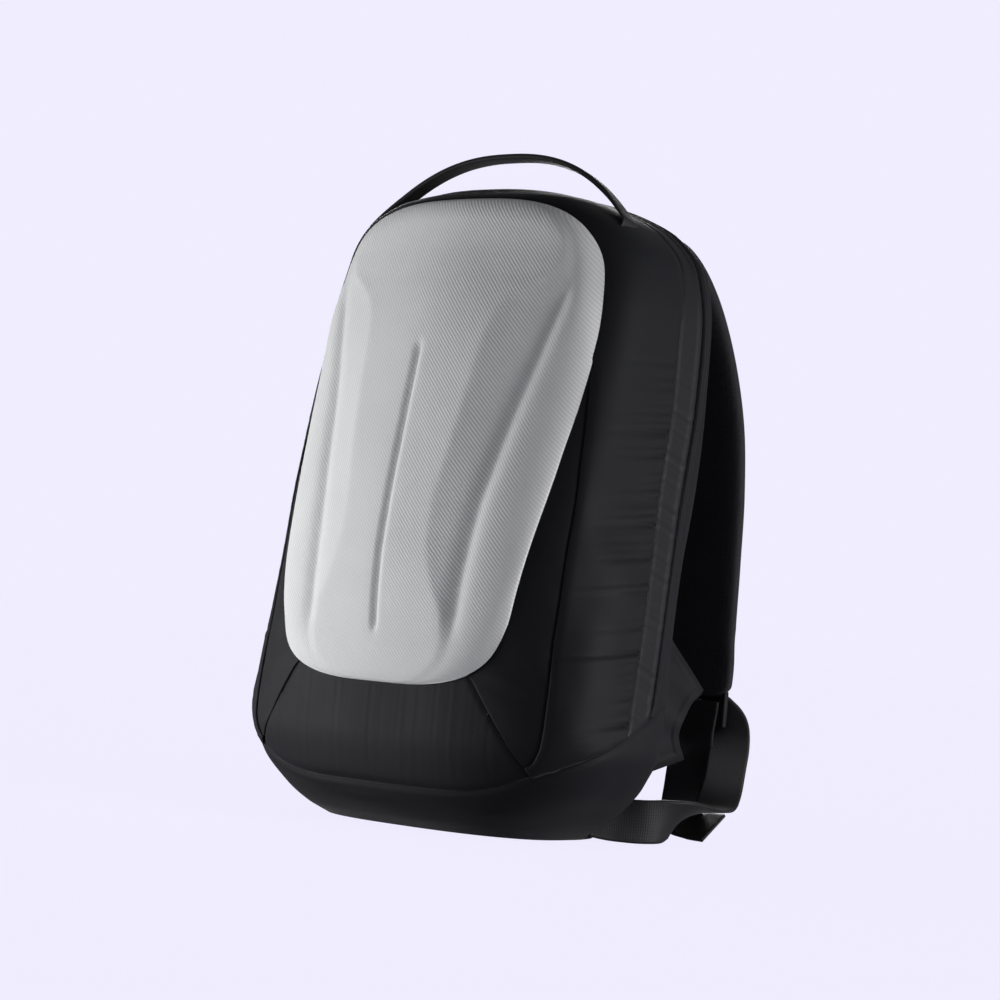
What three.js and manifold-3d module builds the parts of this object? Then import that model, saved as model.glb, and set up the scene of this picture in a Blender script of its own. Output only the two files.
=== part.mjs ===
// Upright two-strap backpack with a moulded front shell, standing on its flat base.
// Millimetres, +Z up, +X to the viewer's right, -Y the front shell, +Y the wearer's back.
import * as THREE from 'three';
import { LoftGeometry } from 'three/addons/geometries/LoftGeometry.js';
import { mergeVertices } from 'three/addons/utils/BufferGeometryUtils.js';
import Module from 'manifold-3d';

const wasm = await Module();
wasm.setup();
const { Manifold, Mesh: SolidMesh } = wasm;

// Sizes
const WALL = 2; // body cloth
const SEAM = 0.3; // clearance between two sewn panels
const ZIP_LINE = 1.4; // open line between the two zip tapes
const RING_POINTS = 44; // points round one body section
const REACH = 220; // half length of a cutting prism

// Body cloth: one row for each level section, front and back halves as superellipses
const BODY = [
  { z: 0, half: 95, wideY: -20, frontY: -80, backY: 42, frontPow: 2.6, backPow: 3.4 },
  { z: 8, half: 107, wideY: -24, frontY: -95, backY: 48, frontPow: 2.7, backPow: 3.2 },
  { z: 20, half: 121, wideY: -28, frontY: -107, backY: 49, frontPow: 2.8, backPow: 3.1 },
  { z: 40, half: 140, wideY: -30, frontY: -115, backY: 50, frontPow: 2.9, backPow: 3.1 },
  { z: 65, half: 150, wideY: -30, frontY: -119, backY: 52, frontPow: 3.0, backPow: 3.2 },
  { z: 100, half: 146, wideY: -26, frontY: -119, backY: 57, frontPow: 3.1, backPow: 3.3 },
  { z: 130, half: 142, wideY: -21, frontY: -118, backY: 60, frontPow: 3.15, backPow: 3.4 },
  { z: 160, half: 139, wideY: -16, frontY: -115.5, backY: 61.5, frontPow: 3.3, backPow: 3.7 },
  { z: 195, half: 136, wideY: -8, frontY: -107, backY: 63.5, frontPow: 3.9, backPow: 4.2 },
  { z: 235, half: 133, wideY: -2, frontY: -96, backY: 66, frontPow: 5.0, backPow: 5.8 },
  { z: 310, half: 131, wideY: 8, frontY: -78, backY: 68, frontPow: 5.6, backPow: 9.0 },
  { z: 360, half: 130, wideY: 12, frontY: -66, backY: 68, frontPow: 5.6, backPow: 9.0 },
  { z: 395, half: 125, wideY: 12, frontY: -61, backY: 67, frontPow: 5.2, backPow: 8.0 },
  { z: 418.5, half: 109.5, wideY: 6, frontY: -64, backY: 56, frontPow: 4.4, backPow: 6.0 },
  { z: 431.2, half: 87.5, wideY: -5, frontY: -64, backY: 40, frontPow: 3.4, backPow: 4.6 },
  { z: 438.6, half: 62, wideY: -12, frontY: -54, backY: 22, frontPow: 2.8, backPow: 3.6 },
  { z: 443.4, half: 24, wideY: -16, frontY: -37, backY: 3, frontPow: 2.3, backPow: 2.6 },
];
const BODY_TOP = BODY.at(-1).z;
const RING_LEVELS = [0, 8, 20, 40, 65, 100, 145, 190, 235, 280, 325, 360, 386, 403, 416, 425.5, 433, 438.6, 443.4];

// Seams that run round the sides and over the top, as Y at each level
const ROUND_SEAMS = [
  { z: 30, tapeY: -50, zipY: -29, panelY: 36 },
  { z: 90, tapeY: -33, zipY: -11.5, panelY: 41 },
  { z: 140, tapeY: -17.5, zipY: 4.5, panelY: 46 },
  { z: 200, tapeY: -4.5, zipY: 18, panelY: 51 },
  { z: 270, tapeY: 7, zipY: 32, panelY: 54 },
  { z: 300, tapeY: 12, zipY: 37, panelY: 55 },
  { z: 350, tapeY: 14, zipY: 40, panelY: 56 },
  { z: 395, tapeY: 17, zipY: 36, panelY: 54 },
  { z: 418.5, tapeY: 9, zipY: 26, panelY: 43 },
  { z: 431.2, tapeY: -2, zipY: 12, panelY: 27 },
  { z: 438.6, tapeY: -11, zipY: 2, panelY: 13 },
  { z: 448.6, tapeY: -25, zipY: -13, panelY: -4 },
];
// Side seam between the gusset and the front wedge
const SIDE_SEAM = [
  { z: 20, y: -98 },
  { z: 57, y: -97.5 },
  { z: 103, y: -94 },
  { z: 161, y: -87 },
  { z: 227, y: -78.5 },
  { z: 318, y: -65.5 },
];
const SIDE_SEAM_TOP = 318;
// Upper edge of the base boot, low at the front and rising towards the back
const BOOT_SEAM = [
  { y: -160, z: 28.5 },
  { y: -110, z: 29 },
  { y: -103, z: 34 },
  { y: -96, z: 43.5 },
  { y: -82, z: 51.5 },
  { y: -69.5, z: 58.5 },
  { y: -47, z: 69.5 },
  { y: -31, z: 77.5 },
  { y: -11, z: 87.5 },
  { y: 12, z: 94.5 },
  { y: 40, z: 97 },
  { y: 160, z: 97 },
];
// Slanted seams of the front apron, a point high and a point low on the right one
const APRON = { highX: 64.8, highZ: 121, lowX: 131.3, lowZ: 25 };

// Moulded front shell: a relief dish whose edge laps the cloth
const SHELL = {
  bottom: 96.5, top: 433.5, halfWidth: 112,
  bottomRound: 42, bottomPow: 3,
  topRound: 100, topPow: 3.2,
  wall: 4, edge: 1.4, seat: 0.35, bandPow: 1.65, endRound: 17, endPow: 2.2, lap: 12,
  groove: { depth: 3, half: 5, low: 128, high: 332, fade: 14 },
};
// Shell at each level: half width and Y of its edge, and Y of its crown on the centre line
const SHELL_EDGE = [
  { z: 96, edgeX: 87, edgeY: -117, crownY: -126 },
  { z: 125, edgeX: 92.5, edgeY: -114.8, crownY: -127.4 },
  { z: 145, edgeX: 97.6, edgeY: -111, crownY: -128.8 },
  { z: 160, edgeX: 99.6, edgeY: -108, crownY: -129.4 },
  { z: 180, edgeX: 102.3, edgeY: -104, crownY: -129.2 },
  { z: 200, edgeX: 104.6, edgeY: -99.2, crownY: -127.4 },
  { z: 220, edgeX: 107, edgeY: -93.6, crownY: -125 },
  { z: 240, edgeX: 109.5, edgeY: -87.6, crownY: -122 },
  { z: 260, edgeX: 111.6, edgeY: -81.8, crownY: -118.4 },
  { z: 280, edgeX: 114, edgeY: -75.6, crownY: -115 },
  { z: 300, edgeX: 115.6, edgeY: -69.8, crownY: -111.4 },
  { z: 320, edgeX: 116.8, edgeY: -64.8, crownY: -107.8 },
  { z: 340, edgeX: 117, edgeY: -61, crownY: -103.8 },
  { z: 355, edgeX: 117, edgeY: -58, crownY: -100 },
  { z: 368, edgeX: 117, edgeY: -55.4, crownY: -96 },
  { z: 382, edgeX: 117, edgeY: -54, crownY: -91 },
  { z: 400, edgeX: 117, edgeY: -55, crownY: -85 },
  { z: 434, edgeX: 117, edgeY: -64, crownY: -77 },
];
// Shell relief at each level: the valley, and the ridge of the raised middle
const SHELL_RELIEF = [
  { z: 96, valleyX: 60, valleyY: -123.5, ridgeX: 54, ridgeY: -125 },
  { z: 125, valleyX: 60.5, valleyY: -123.2, ridgeX: 56.5, ridgeY: -125 },
  { z: 145, valleyX: 61.5, valleyY: -122.6, ridgeX: 53.6, ridgeY: -126.2 },
  { z: 160, valleyX: 62.4, valleyY: -121.6, ridgeX: 46.4, ridgeY: -127.2 },
  { z: 180, valleyX: 63.7, valleyY: -119.2, ridgeX: 39.7, ridgeY: -126.9 },
  { z: 200, valleyX: 65.3, valleyY: -116.5, ridgeX: 36.3, ridgeY: -125.2 },
  { z: 220, valleyX: 67.4, valleyY: -113, ridgeX: 36.3, ridgeY: -122.8 },
  { z: 240, valleyX: 70.7, valleyY: -108.4, ridgeX: 39.4, ridgeY: -119.8 },
  { z: 260, valleyX: 74, valleyY: -103.3, ridgeX: 42, ridgeY: -116.2 },
  { z: 280, valleyX: 77.4, valleyY: -98, ridgeX: 44.4, ridgeY: -112.3 },
  { z: 300, valleyX: 81.5, valleyY: -92.6, ridgeX: 46.6, ridgeY: -108.2 },
  { z: 320, valleyX: 86.2, valleyY: -87.4, ridgeX: 48.4, ridgeY: -103.8 },
  { z: 340, valleyX: 90.7, valleyY: -82.4, ridgeX: 51, ridgeY: -98.6 },
  { z: 355, valleyX: 94.4, valleyY: -78.4, ridgeX: 56.5, ridgeY: -93 },
  { z: 368, valleyX: 98, valleyY: -74.6, ridgeX: 70, ridgeY: -86 },
  { z: 382, valleyX: 102, valleyY: -70.6, ridgeX: 90, ridgeY: -77 },
  { z: 400, valleyX: 104, valleyY: -69, ridgeX: 98, ridgeY: -72.5 },
  { z: 434, valleyX: 106, valleyY: -69, ridgeX: 102, ridgeY: -70.5 },
];
const SHELL_LEVELS = [
  0.4, 2, 5, 9, 15, 24, 36, 52, 76, 104, 132, 162, 192, 222, 246, 262, 276,
  290, 302, 312, 320, 327, 332, 334.6, 336.1,
];

// Carry handle: a web arched over the top and leaning back, flat at its ends and folded in its middle
const HANDLE = {
  span: 112, rise: 51.4, power: 2.45, lean: 9.2, rootY: -29.2, rootZ: 420,
  width: 22, thick: 2.4, foldWidth: 12, foldThick: 4, foldFrom: 0.75, foldOver: 0.2,
  sink: 16, tuck: 4, steps: 14,
};

// Shoulder strap centre line on the right, from its top seam to its lower end
const STRAP = [
  { x: 57, y: 50, z: 421, width: 66, thick: 9 },
  { x: 59, y: 68, z: 421, width: 66, thick: 11 },
  { x: 61, y: 88, z: 411, width: 66, thick: 13 },
  { x: 64, y: 110, z: 388, width: 66, thick: 14 },
  { x: 68, y: 129, z: 352, width: 66, thick: 14 },
  { x: 73, y: 143, z: 303, width: 65, thick: 14 },
  { x: 79, y: 144, z: 250, width: 63, thick: 14 },
  { x: 85, y: 139, z: 198, width: 60, thick: 13 },
  { x: 92, y: 134, z: 148, width: 54, thick: 12 },
  { x: 97.5, y: 132.3, z: 126, width: 47, thick: 10.5 },
  { x: 98.5, y: 132, z: 110, width: 44, thick: 10 },
];
// Ladder lock at the strap's lower end
const LOCK = { x: 99.5, y: 132.5, z: 95.4, width: 40, height: 26, thick: 5, bar: 5 };

// Webbing from the boot's rear corner, along the floor and up to the lock;
// the last three columns set its width direction
const ANCHOR_WEB = [
  { x: 96, y: 4, z: 17, wx: 0.1, wy: 0.75, wz: 0.6 },
  { x: 108, y: 20, z: 15.4, wx: 0.05, wy: 0.5, wz: 0.85 },
  { x: 124, y: 38, z: 15.6, wx: -0.05, wy: 0.1, wz: 1 },
  { x: 129, y: 60, z: 17.5, wx: 0.4, wy: 0, wz: 0.9 },
  { x: 127, y: 84, z: 21, wx: 0.85, wy: 0.1, wz: 0.5 },
  { x: 125, y: 106, z: 23.5, wx: 1, wy: 0.1, wz: 0.05 },
  { x: 121, y: 126, z: 27, wx: 0.95, wy: 0.35, wz: -0.05 },
  { x: 119, y: 136, z: 38, wx: 0.72, wy: 0.7, wz: 0 },
  { x: 119, y: 139.5, z: 54, wx: 0.66, wy: 0.75, wz: 0.15 },
  { x: 118.5, y: 142, z: 70, wx: 0.72, wy: 0.66, wz: 0.2 },
  { x: 115, y: 144, z: 83, wx: 0.88, wy: 0.35, wz: 0.3 },
  { x: 107, y: 141.5, z: 93, wx: 0.95, wy: 0.05, wz: 0.35 },
  { x: 101.5, y: 138, z: 99, wx: 0.95, wy: 0, wz: 0.3 },
  { x: 100, y: 136.6, z: 105, wx: 1, wy: 0, wz: 0.05 },
];
// Free tail of the webbing, hanging from the lock and lying on the floor at its end
const TAIL = [
  { x: 100, y: 128.6, z: 101, wx: 1, wy: 0, wz: 0 },
  { x: 99.5, y: 128.6, z: 92, wx: 1, wy: 0, wz: 0 },
  { x: 98, y: 128.3, z: 80, wx: 1, wy: 0, wz: 0 },
  { x: 92.5, y: 127, z: 57, wx: 0.98, wy: 0.1, wz: 0.05 },
  { x: 86.5, y: 127, z: 38, wx: 0.97, wy: 0.18, wz: 0.05 },
  { x: 86.5, y: 129, z: 20, wx: 0.87, wy: 0.45, wz: -0.1 },
  { x: 93, y: 131.5, z: 10.8, wx: 0.55, wy: 0.75, wz: 0.3 },
  { x: 106, y: 130, z: 10.4, wx: 0.2, wy: 0.78, wz: 0.6 },
  { x: 120, y: 128, z: 10.4, wx: 0.1, wy: 0.78, wz: 0.62 },
];
const WEB = { width: 30, thick: 2 };

// Side wing: a cloth flap from the boot's rear corner back towards the strap, hollowed along its free edge
const WING = {
  rootX: 112, rootY: 26, rootLow: 44, rootHigh: 170,
  tipX: 118, highY: 99, tipHigh: 108, lowY: 80, tipLow: 60, thick: 2.4, bow: 5, bight: 22, steps: 8,
};

// Colours
function finish(name, color, roughness) {
  return new THREE.MeshStandardMaterial({ name, color, roughness, metalness: 0 });
}
const CLOTH = finish('black_nylon', 0x1d1d20, 0.72);
const TWILL = finish('grey_twill', 0xb4b6b8, 0.78);
const WEBBING = finish('black_webbing', 0x17171a, 0.65);
const MESH = finish('black_air_mesh', 0x131315, 0.9);
const TAPE = finish('black_zip_tape', 0x1a1a1d, 0.6);
const PLASTIC = finish('black_acetal', 0x101012, 0.4);

const clamp = (t) => Math.min(Math.max(t, 0), 1);
const smooth = (t) => clamp(t) ** 2 * (3 - 2 * clamp(t));
const quarter = (t, pow) => (1 - t ** pow) ** (1 / pow); // height of a superellipse's quarter at t

// Value of a table column at a key, smooth and without overshoot
function column(rows, key, name, at) {
  const last = rows.length - 1;
  const q = Math.min(Math.max(at, rows[0][key]), rows[last][key]);
  let i = 0;
  while (i < last - 1 && q > rows[i + 1][key]) i++;
  const span = (k) => rows[k + 1][key] - rows[k][key];
  const slope = (k) => (rows[k + 1][name] - rows[k][name]) / span(k);
  const tangent = (k) => {
    if (k === 0) return slope(0);
    if (k === last) return slope(last - 1);
    const a = slope(k - 1), b = slope(k);
    if (a * b <= 0) return 0;
    const wa = 2 * span(k) + span(k - 1), wb = span(k) + 2 * span(k - 1);
    return (wa + wb) / (wa / a + wb / b);
  };
  const h = span(i), t = (q - rows[i][key]) / h;
  const t2 = t * t, t3 = t2 * t;
  return rows[i][name] * (2 * t3 - 3 * t2 + 1) + tangent(i) * h * (t3 - 2 * t2 + t)
    + rows[i + 1][name] * (3 * t2 - 2 * t3) + tangent(i + 1) * h * (t3 - t2);
}

// One level section of the body, counter-clockwise from above, grown by `grow`
function bodyRing(z, grow, atZ = z) {
  const get = (name) => column(BODY, 'z', name, z);
  const half = get('half') + grow, wide = get('wideY');
  const front = wide - get('frontY') + grow, back = get('backY') - wide + grow;
  const points = [];
  for (let i = 0; i < RING_POINTS; i++) {
    const a = (i / RING_POINTS) * 2 * Math.PI, c = Math.cos(a), s = Math.sin(a);
    const pow = s < 0 ? get('frontPow') : get('backPow'), depth = s < 0 ? front : back;
    points.push(new THREE.Vector3(
      half * Math.sign(c) * Math.abs(c) ** (2 / pow),
      wide + depth * Math.sign(s) * Math.abs(s) ** (2 / pow),
      atZ,
    ));
  }
  return points;
}

// Y of the body's front face at (x, z), proud of the cloth by `proud`
function frontY(x, z, proud) {
  const half = column(BODY, 'z', 'half', z) + proud, wide = column(BODY, 'z', 'wideY', z);
  const depth = wide - column(BODY, 'z', 'frontY', z) + proud, pow = column(BODY, 'z', 'frontPow', z);
  const u = Math.min(Math.abs(x) / half, 0.9999);
  return wide - depth * (1 - u ** pow) ** (1 / pow);
}

function solidFrom(geometry) {
  const bare = new THREE.BufferGeometry().setAttribute('position', geometry.getAttribute('position'));
  bare.setIndex(geometry.index);
  const merged = mergeVertices(bare, 1e-3);
  return new Manifold(new SolidMesh({
    numProp: 3,
    vertProperties: Float32Array.from(merged.getAttribute('position').array),
    triVerts: Uint32Array.from(merged.index.array),
  }));
}

function geometryFrom(solid) {
  const mesh = solid.getMesh();
  const geometry = new THREE.BufferGeometry();
  const points = new Float32Array((mesh.vertProperties.length / mesh.numProp) * 3);
  for (let i = 0; i < points.length / 3; i++)
    for (let k = 0; k < 3; k++) points[3 * i + k] = mesh.vertProperties[i * mesh.numProp + k];
  geometry.setAttribute('position', new THREE.BufferAttribute(points, 3));
  geometry.setIndex(Array.from(mesh.triVerts));
  geometry.computeVertexNormals();
  return geometry;
}

const AXIS_X = new THREE.Vector3(1, 0, 0);
const AXIS_Y = new THREE.Vector3(0, 1, 0);
const AXIS_Z = new THREE.Vector3(0, 0, 1);

function loft(sections) {
  return solidFrom(new LoftGeometry(sections, { closed: true, capStart: true, capEnd: true }));
}

// Prism along X over an outline of [y, z]
function prismX(outline) {
  const shape = new THREE.Shape(outline.map(([y, z]) => new THREE.Vector2(y, z)));
  const geometry = new THREE.ExtrudeGeometry(shape, { depth: 2 * REACH, bevelEnabled: false, steps: 1 });
  const turn = new THREE.Matrix4().makeBasis(AXIS_Y, AXIS_Z, AXIS_X);
  return solidFrom(geometry.translate(0, 0, -REACH).applyMatrix4(turn));
}

// Prism along Y over an outline of [x, z], from yFrom to yTo
function prismY(outline, yFrom, yTo) {
  const shape = new THREE.Shape(outline.map(([x, z]) => new THREE.Vector2(x, z)));
  const geometry = new THREE.ExtrudeGeometry(shape, { depth: yTo - yFrom, bevelEnabled: false, steps: 1 });
  const turn = new THREE.Matrix4().makeBasis(AXIS_X, AXIS_Z, AXIS_Y.clone().negate());
  return solidFrom(geometry.applyMatrix4(turn).translate(0, yTo, 0));
}

// Everything in front of a round seam, moved back by `shift`
function inFrontOf(name, shift) {
  const edge = [];
  for (let z = -10; z <= 470; z += 12) edge.push([column(ROUND_SEAMS, 'z', name, z) + shift, z]);
  return prismX([[-REACH, -10], ...edge, [-REACH, 470]]);
}

// Everything under the boot seam, raised by `shift`
function underBoot(shift) {
  return prismX([...BOOT_SEAM.map(({ y, z }) => [y, z + shift]), [160, -10], [-160, -10]]);
}

// The wedge in front of the side seam, moved by `shift`
function frontWedge(shift) {
  const top = SIDE_SEAM_TOP + shift, edge = [];
  for (let k = 0; k <= 12; k++) {
    const z = (top * k) / 12;
    edge.push([column(SIDE_SEAM, 'z', 'y', z) + shift, z]);
  }
  return prismX([[-REACH, 0], ...edge, [-REACH, top]]);
}

// The apron's outline between its slanted seams, wider by `grow`
function apronPrism(grow) {
  const { highX, highZ, lowX, lowZ } = APRON;
  const low = lowX + grow, high = highX + grow;
  return prismY([[-low, lowZ], [low, lowZ], [high, highZ], [-high, highZ]], -REACH, 0);
}

// Half width of the shell's outline at a level
function shellHalf(z) {
  const low = clamp((SHELL.bottom + SHELL.bottomRound - z) / SHELL.bottomRound);
  const high = clamp((z - SHELL.top + SHELL.topRound) / SHELL.topRound);
  return column(SHELL_EDGE, 'z', 'edgeX', z) * quarter(low, SHELL.bottomPow) * quarter(high, SHELL.topPow);
}

// Upright distance of (x, z) from the shell's lower or upper outline
function shellEnd(x, z) {
  const share = clamp(Math.abs(x) / column(SHELL_EDGE, 'z', 'edgeX', z));
  const low = z - SHELL.bottom - SHELL.bottomRound * (1 - quarter(share, SHELL.bottomPow));
  const high = SHELL.top - SHELL.topRound * (1 - quarter(share, SHELL.topPow)) - z;
  return Math.max(Math.min(low, high), 0);
}

// Where the shell's relief lines cross a level, drawn in with its outline
function shellMarks(z) {
  const half = shellHalf(z), draw = half / column(SHELL_EDGE, 'z', 'edgeX', z);
  const edge = (name) => column(SHELL_EDGE, 'z', name, z);
  const relief = (name) => column(SHELL_RELIEF, 'z', name, z);
  return {
    half, valley: relief('valleyX') * draw, ridge: relief('ridgeX') * draw,
    edgeY: edge('edgeY'), crownY: edge('crownY'), valleyY: relief('valleyY'), ridgeY: relief('ridgeY'),
  };
}

// Y of the shell's outer face: raised middle, flank, rolled outer band, rolled ends, centre groove
function shellY(x, z) {
  const { half, valley, ridge, edgeY, valleyY, ridgeY, crownY } = shellMarks(z);
  const a = Math.min(Math.abs(x), half);
  let y = edgeY - (edgeY - valleyY) * quarter(clamp((a - valley) / (half - valley)), SHELL.bandPow);
  if (a <= ridge) y = crownY + (ridgeY - crownY) * (a / ridge) ** 2;
  else if (a <= valley) y = ridgeY + ((valleyY - ridgeY) * (a - ridge)) / (valley - ridge);
  const { depth, half: wide, low, high, fade } = SHELL.groove;
  y += depth * smooth((z - low) / fade) * smooth((high - z) / fade) * Math.max(0, 1 - a / wide);
  const roll = quarter(1 - clamp(shellEnd(x, z) / SHELL.endRound), SHELL.endPow);
  const rest = frontY(x, z, SHELL.seat) - SHELL.edge;
  return Math.min(rest + (y - rest) * roll, rest);
}

// One level section of the shell: outer face left to right, then the inner face back
function shellSection(z) {
  const { half, valley, ridge } = shellMarks(z), band = half - valley;
  const right = [0, 0.03, 0.12, 0.3, 0.6].map((share) => half - share * band);
  right.push(valley, (valley + ridge) / 2, ridge, ridge * 0.55, Math.min(SHELL.groove.half, ridge * 0.3));
  const xs = [...right.map((x) => -x), 0, ...[...right].reverse()];
  const outer = xs.map((x) => new THREE.Vector3(x, shellY(x, z), z));
  const inside = (x) => Math.min(shellY(x, z) + SHELL.wall, frontY(x, z, SHELL.seat));
  const inner = [...xs].reverse().filter((_, i) => i % 2 === 0)
    .map((x) => new THREE.Vector3(x, inside(x), z));
  return [...outer, ...inner];
}

// The outline of the cloth's opening behind the shell
function shellOpening() {
  const middle = (SHELL.bottom + SHELL.top) / 2, tall = (SHELL.top - SHELL.bottom) / 2;
  const across = 1 - SHELL.lap / SHELL.halfWidth, up = 1 - SHELL.lap / tall;
  const right = [];
  for (let k = 0; k <= 28; k++) {
    const z = middle - tall * Math.cos((Math.PI * k) / 28);
    right.push([shellHalf(z) * across, middle + (z - middle) * up]);
  }
  const left = right.map(([x, z]) => [-x, z]).reverse();
  return prismY([...right.filter(([x]) => x > 1), ...left.filter(([x]) => x < -1)], -REACH, 0);
}

// A path through table rows, with a width direction at each step
function alongPath(rows, steps) {
  const spots = rows.map(({ x, y, z }) => new THREE.Vector3(x, y, z));
  const centre = new THREE.CatmullRomCurve3(spots, false, 'centripetal');
  const key = rows.map((r, i) => ({ ...r, i }));
  const frames = [];
  for (let k = 0; k <= steps; k++) {
    const t = k / steps, at = t * (rows.length - 1);
    const tangent = centre.getTangent(t).normalize();
    const read = (name, plain) => (name in rows[0] ? column(key, 'i', name, at) : plain);
    const wide = new THREE.Vector3(read('wx', 1), read('wy', 0), read('wz', 0));
    wide.addScaledVector(tangent, -wide.dot(tangent)).normalize();
    frames.push({
      point: centre.getPoint(t), wide, normal: new THREE.Vector3().crossVectors(tangent, wide),
      width: read('width', WEB.width), thick: read('thick', WEB.thick),
    });
  }
  return frames;
}

// A flat or padded band: each section a rectangle with cut corners of size `corner`
function band(frames, corner = 0) {
  return loft(frames.map(({ point, wide, normal, width, thick }) => {
    const a = width / 2, b = thick / 2, c = Math.min(corner, b * 0.8);
    const spots = c > 0
      ? [[a, b - c], [a - c, b], [c - a, b], [-a, b - c], [-a, c - b], [c - a, -b], [a - c, -b], [a, c - b]]
      : [[a, b], [-a, b], [-a, -b], [a, -b]];
    return spots.map(([u, v]) => point.clone().addScaledVector(wide, u).addScaledVector(normal, v));
  }));
}

// Body solids
const outer = loft(RING_LEVELS.map((z) => bodyRing(z, 0)));
const innerLevel = (z) => WALL + (z * (BODY_TOP - 2 * WALL)) / BODY_TOP;
const inner = loft(RING_LEVELS.map((z) => bodyRing(z, -WALL, innerLevel(z))));
const clear = loft([-1, ...RING_LEVELS, BODY_TOP + SEAM].map((z) => bodyRing(z, SEAM, z)));
const wall = outer.subtract(inner);
const boot = wall.intersect(underBoot(0));
const above = wall.subtract(underBoot(SEAM));
const opening = shellOpening();

// Cloth panels
const front = above.intersect(inFrontOf('tapeY', 0)).subtract(opening);
const apron = front.intersect(apronPrism(0));
const wedges = front.intersect(frontWedge(0)).subtract(apronPrism(SEAM));
const whole = prismX([[-REACH, -10], [REACH, -10], [REACH, 470], [-REACH, 470]]);
const rightHalf = whole.translate(REACH, 0, 0);
const gusset = front.subtract(frontWedge(SEAM)).subtract(apronPrism(SEAM));
const tape = above.intersect(inFrontOf('zipY', 0)).subtract(inFrontOf('tapeY', SEAM));
const rearBand = above.intersect(inFrontOf('panelY', 0)).subtract(inFrontOf('zipY', ZIP_LINE));
const backPanel = outer.subtract(underBoot(SEAM)).subtract(inFrontOf('panelY', SEAM));

const shell = loft(SHELL_LEVELS.map((rise) => shellSection(SHELL.bottom + rise)));

// Carry handle
const lean = THREE.MathUtils.degToRad(HANDLE.lean);
function handleFrame(k) {
  const side = Math.sign(k), past = Math.abs(k) > HANDLE.steps ? 1 : 0;
  const share = side * Math.min(Math.abs(k) / HANDLE.steps, 1);
  const open = smooth((Math.abs(share) - HANDLE.foldFrom) / HANDLE.foldOver);
  const { power } = HANDLE;
  const rise = HANDLE.rise * (1 - Math.abs(share) ** power) - past * HANDLE.sink;
  const fall = (side * power * HANDLE.rise * Math.abs(share) ** (power - 1)) / HANDLE.span;
  const tangent = new THREE.Vector3(1, -fall * Math.sin(lean), -fall * Math.cos(lean)).normalize();
  const wide = new THREE.Vector3(0, Math.cos(lean), -Math.sin(lean));
  const x = HANDLE.span * share - past * side * HANDLE.tuck;
  return {
    point: new THREE.Vector3(x, HANDLE.rootY + rise * Math.sin(lean), HANDLE.rootZ + rise * Math.cos(lean)),
    wide, normal: new THREE.Vector3().crossVectors(tangent, wide),
    width: THREE.MathUtils.lerp(HANDLE.foldWidth, HANDLE.width, open),
    thick: THREE.MathUtils.lerp(HANDLE.foldThick, HANDLE.thick, open),
  };
}
const handleFrames = [];
for (let k = -HANDLE.steps - 1; k <= HANDLE.steps + 1; k++) handleFrames.push(handleFrame(k));
const handle = band(handleFrames).subtract(clear);

// Strap set on the right
const strap = band(alongPath(STRAP, 26), 4).subtract(clear);
function lockSolid() {
  const { x, y, z, width, height, thick, bar } = LOCK;
  const plate = solidFrom(new THREE.BoxGeometry(width, thick, height));
  const slot = solidFrom(new THREE.BoxGeometry(width - 2 * bar, thick * 2, height / 2 - 1.5 * bar));
  const shift = height / 4 - bar / 4;
  const frame = plate.subtract(slot.translate(0, 0, shift)).subtract(slot.translate(0, 0, -shift));
  return frame.translate(x, y, z);
}
const lock = lockSolid();
const anchorWeb = band(alongPath(ANCHOR_WEB, 40)).subtract(clear);
const tail = band(alongPath(TAIL, 22));
function wingSolid() {
  const { rootX, rootY, rootLow, rootHigh, thick, bow, bight, steps } = WING;
  const { tipX, highY, tipHigh, lowY, tipLow } = WING;
  const mix = THREE.MathUtils.lerp, sections = [];
  for (let k = 0; k <= steps; k++) {
    const t = k / steps, swell = Math.sin(Math.PI * t);
    const root = [rootY, mix(rootLow, rootHigh, t)];
    const tip = [mix(lowY, highY, t) - bight * swell, mix(tipLow, tipHigh, t)];
    const near = rootX + bow * swell, far = tipX + bow * swell, half = thick / 2;
    const corners = [
      [near - half, ...root], [near + half, ...root], [far + half, ...tip], [far - half, ...tip],
    ];
    sections.push(corners.map((q) => new THREE.Vector3(...q)));
  }
  return loft(sections);
}
const wing = wingSolid().subtract(clear);

// Scene graph
const backpack = new THREE.Group();
backpack.name = 'backpack';
function piece(parent, name, solid, material) {
  const mesh = new THREE.Mesh(geometryFrom(solid), material);
  mesh.name = name;
  parent.add(mesh);
}
const body = new THREE.Group();
body.name = 'body';
backpack.add(body);
piece(body, 'front_shell', shell, TWILL);
piece(body, 'front_apron', apron, CLOTH);
piece(body, 'front_wedge_right', wedges.intersect(rightHalf), CLOTH);
piece(body, 'front_wedge_left', wedges.subtract(rightHalf), CLOTH);
piece(body, 'body_gusset', gusset, CLOTH);
piece(body, 'zip_tape', tape, TAPE);
piece(body, 'back_band', rearBand, CLOTH);
piece(body, 'back_panel', backPanel, MESH);
piece(body, 'base_boot', boot, CLOTH);
piece(backpack, 'carry_handle', handle, WEBBING);
for (const side of ['right', 'left']) {
  const place = (solid) => (side === 'right' ? solid : solid.mirror([1, 0, 0]));
  const harness = new THREE.Group();
  harness.name = `harness_${side}`;
  backpack.add(harness);
  piece(harness, `shoulder_strap_${side}`, place(strap), MESH);
  piece(harness, `ladder_lock_${side}`, place(lock), PLASTIC);
  piece(harness, `anchor_webbing_${side}`, place(anchorWeb), WEBBING);
  piece(harness, `strap_tail_${side}`, place(tail), WEBBING);
  piece(harness, `side_wing_${side}`, place(wing), CLOTH);
}

export default backpack;
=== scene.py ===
import logging
import math
from dataclasses import dataclass, field
from enum import Enum
from typing import Callable, Sequence

import bmesh
import bpy
import numpy as np
from mathutils import Matrix, Vector


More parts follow.
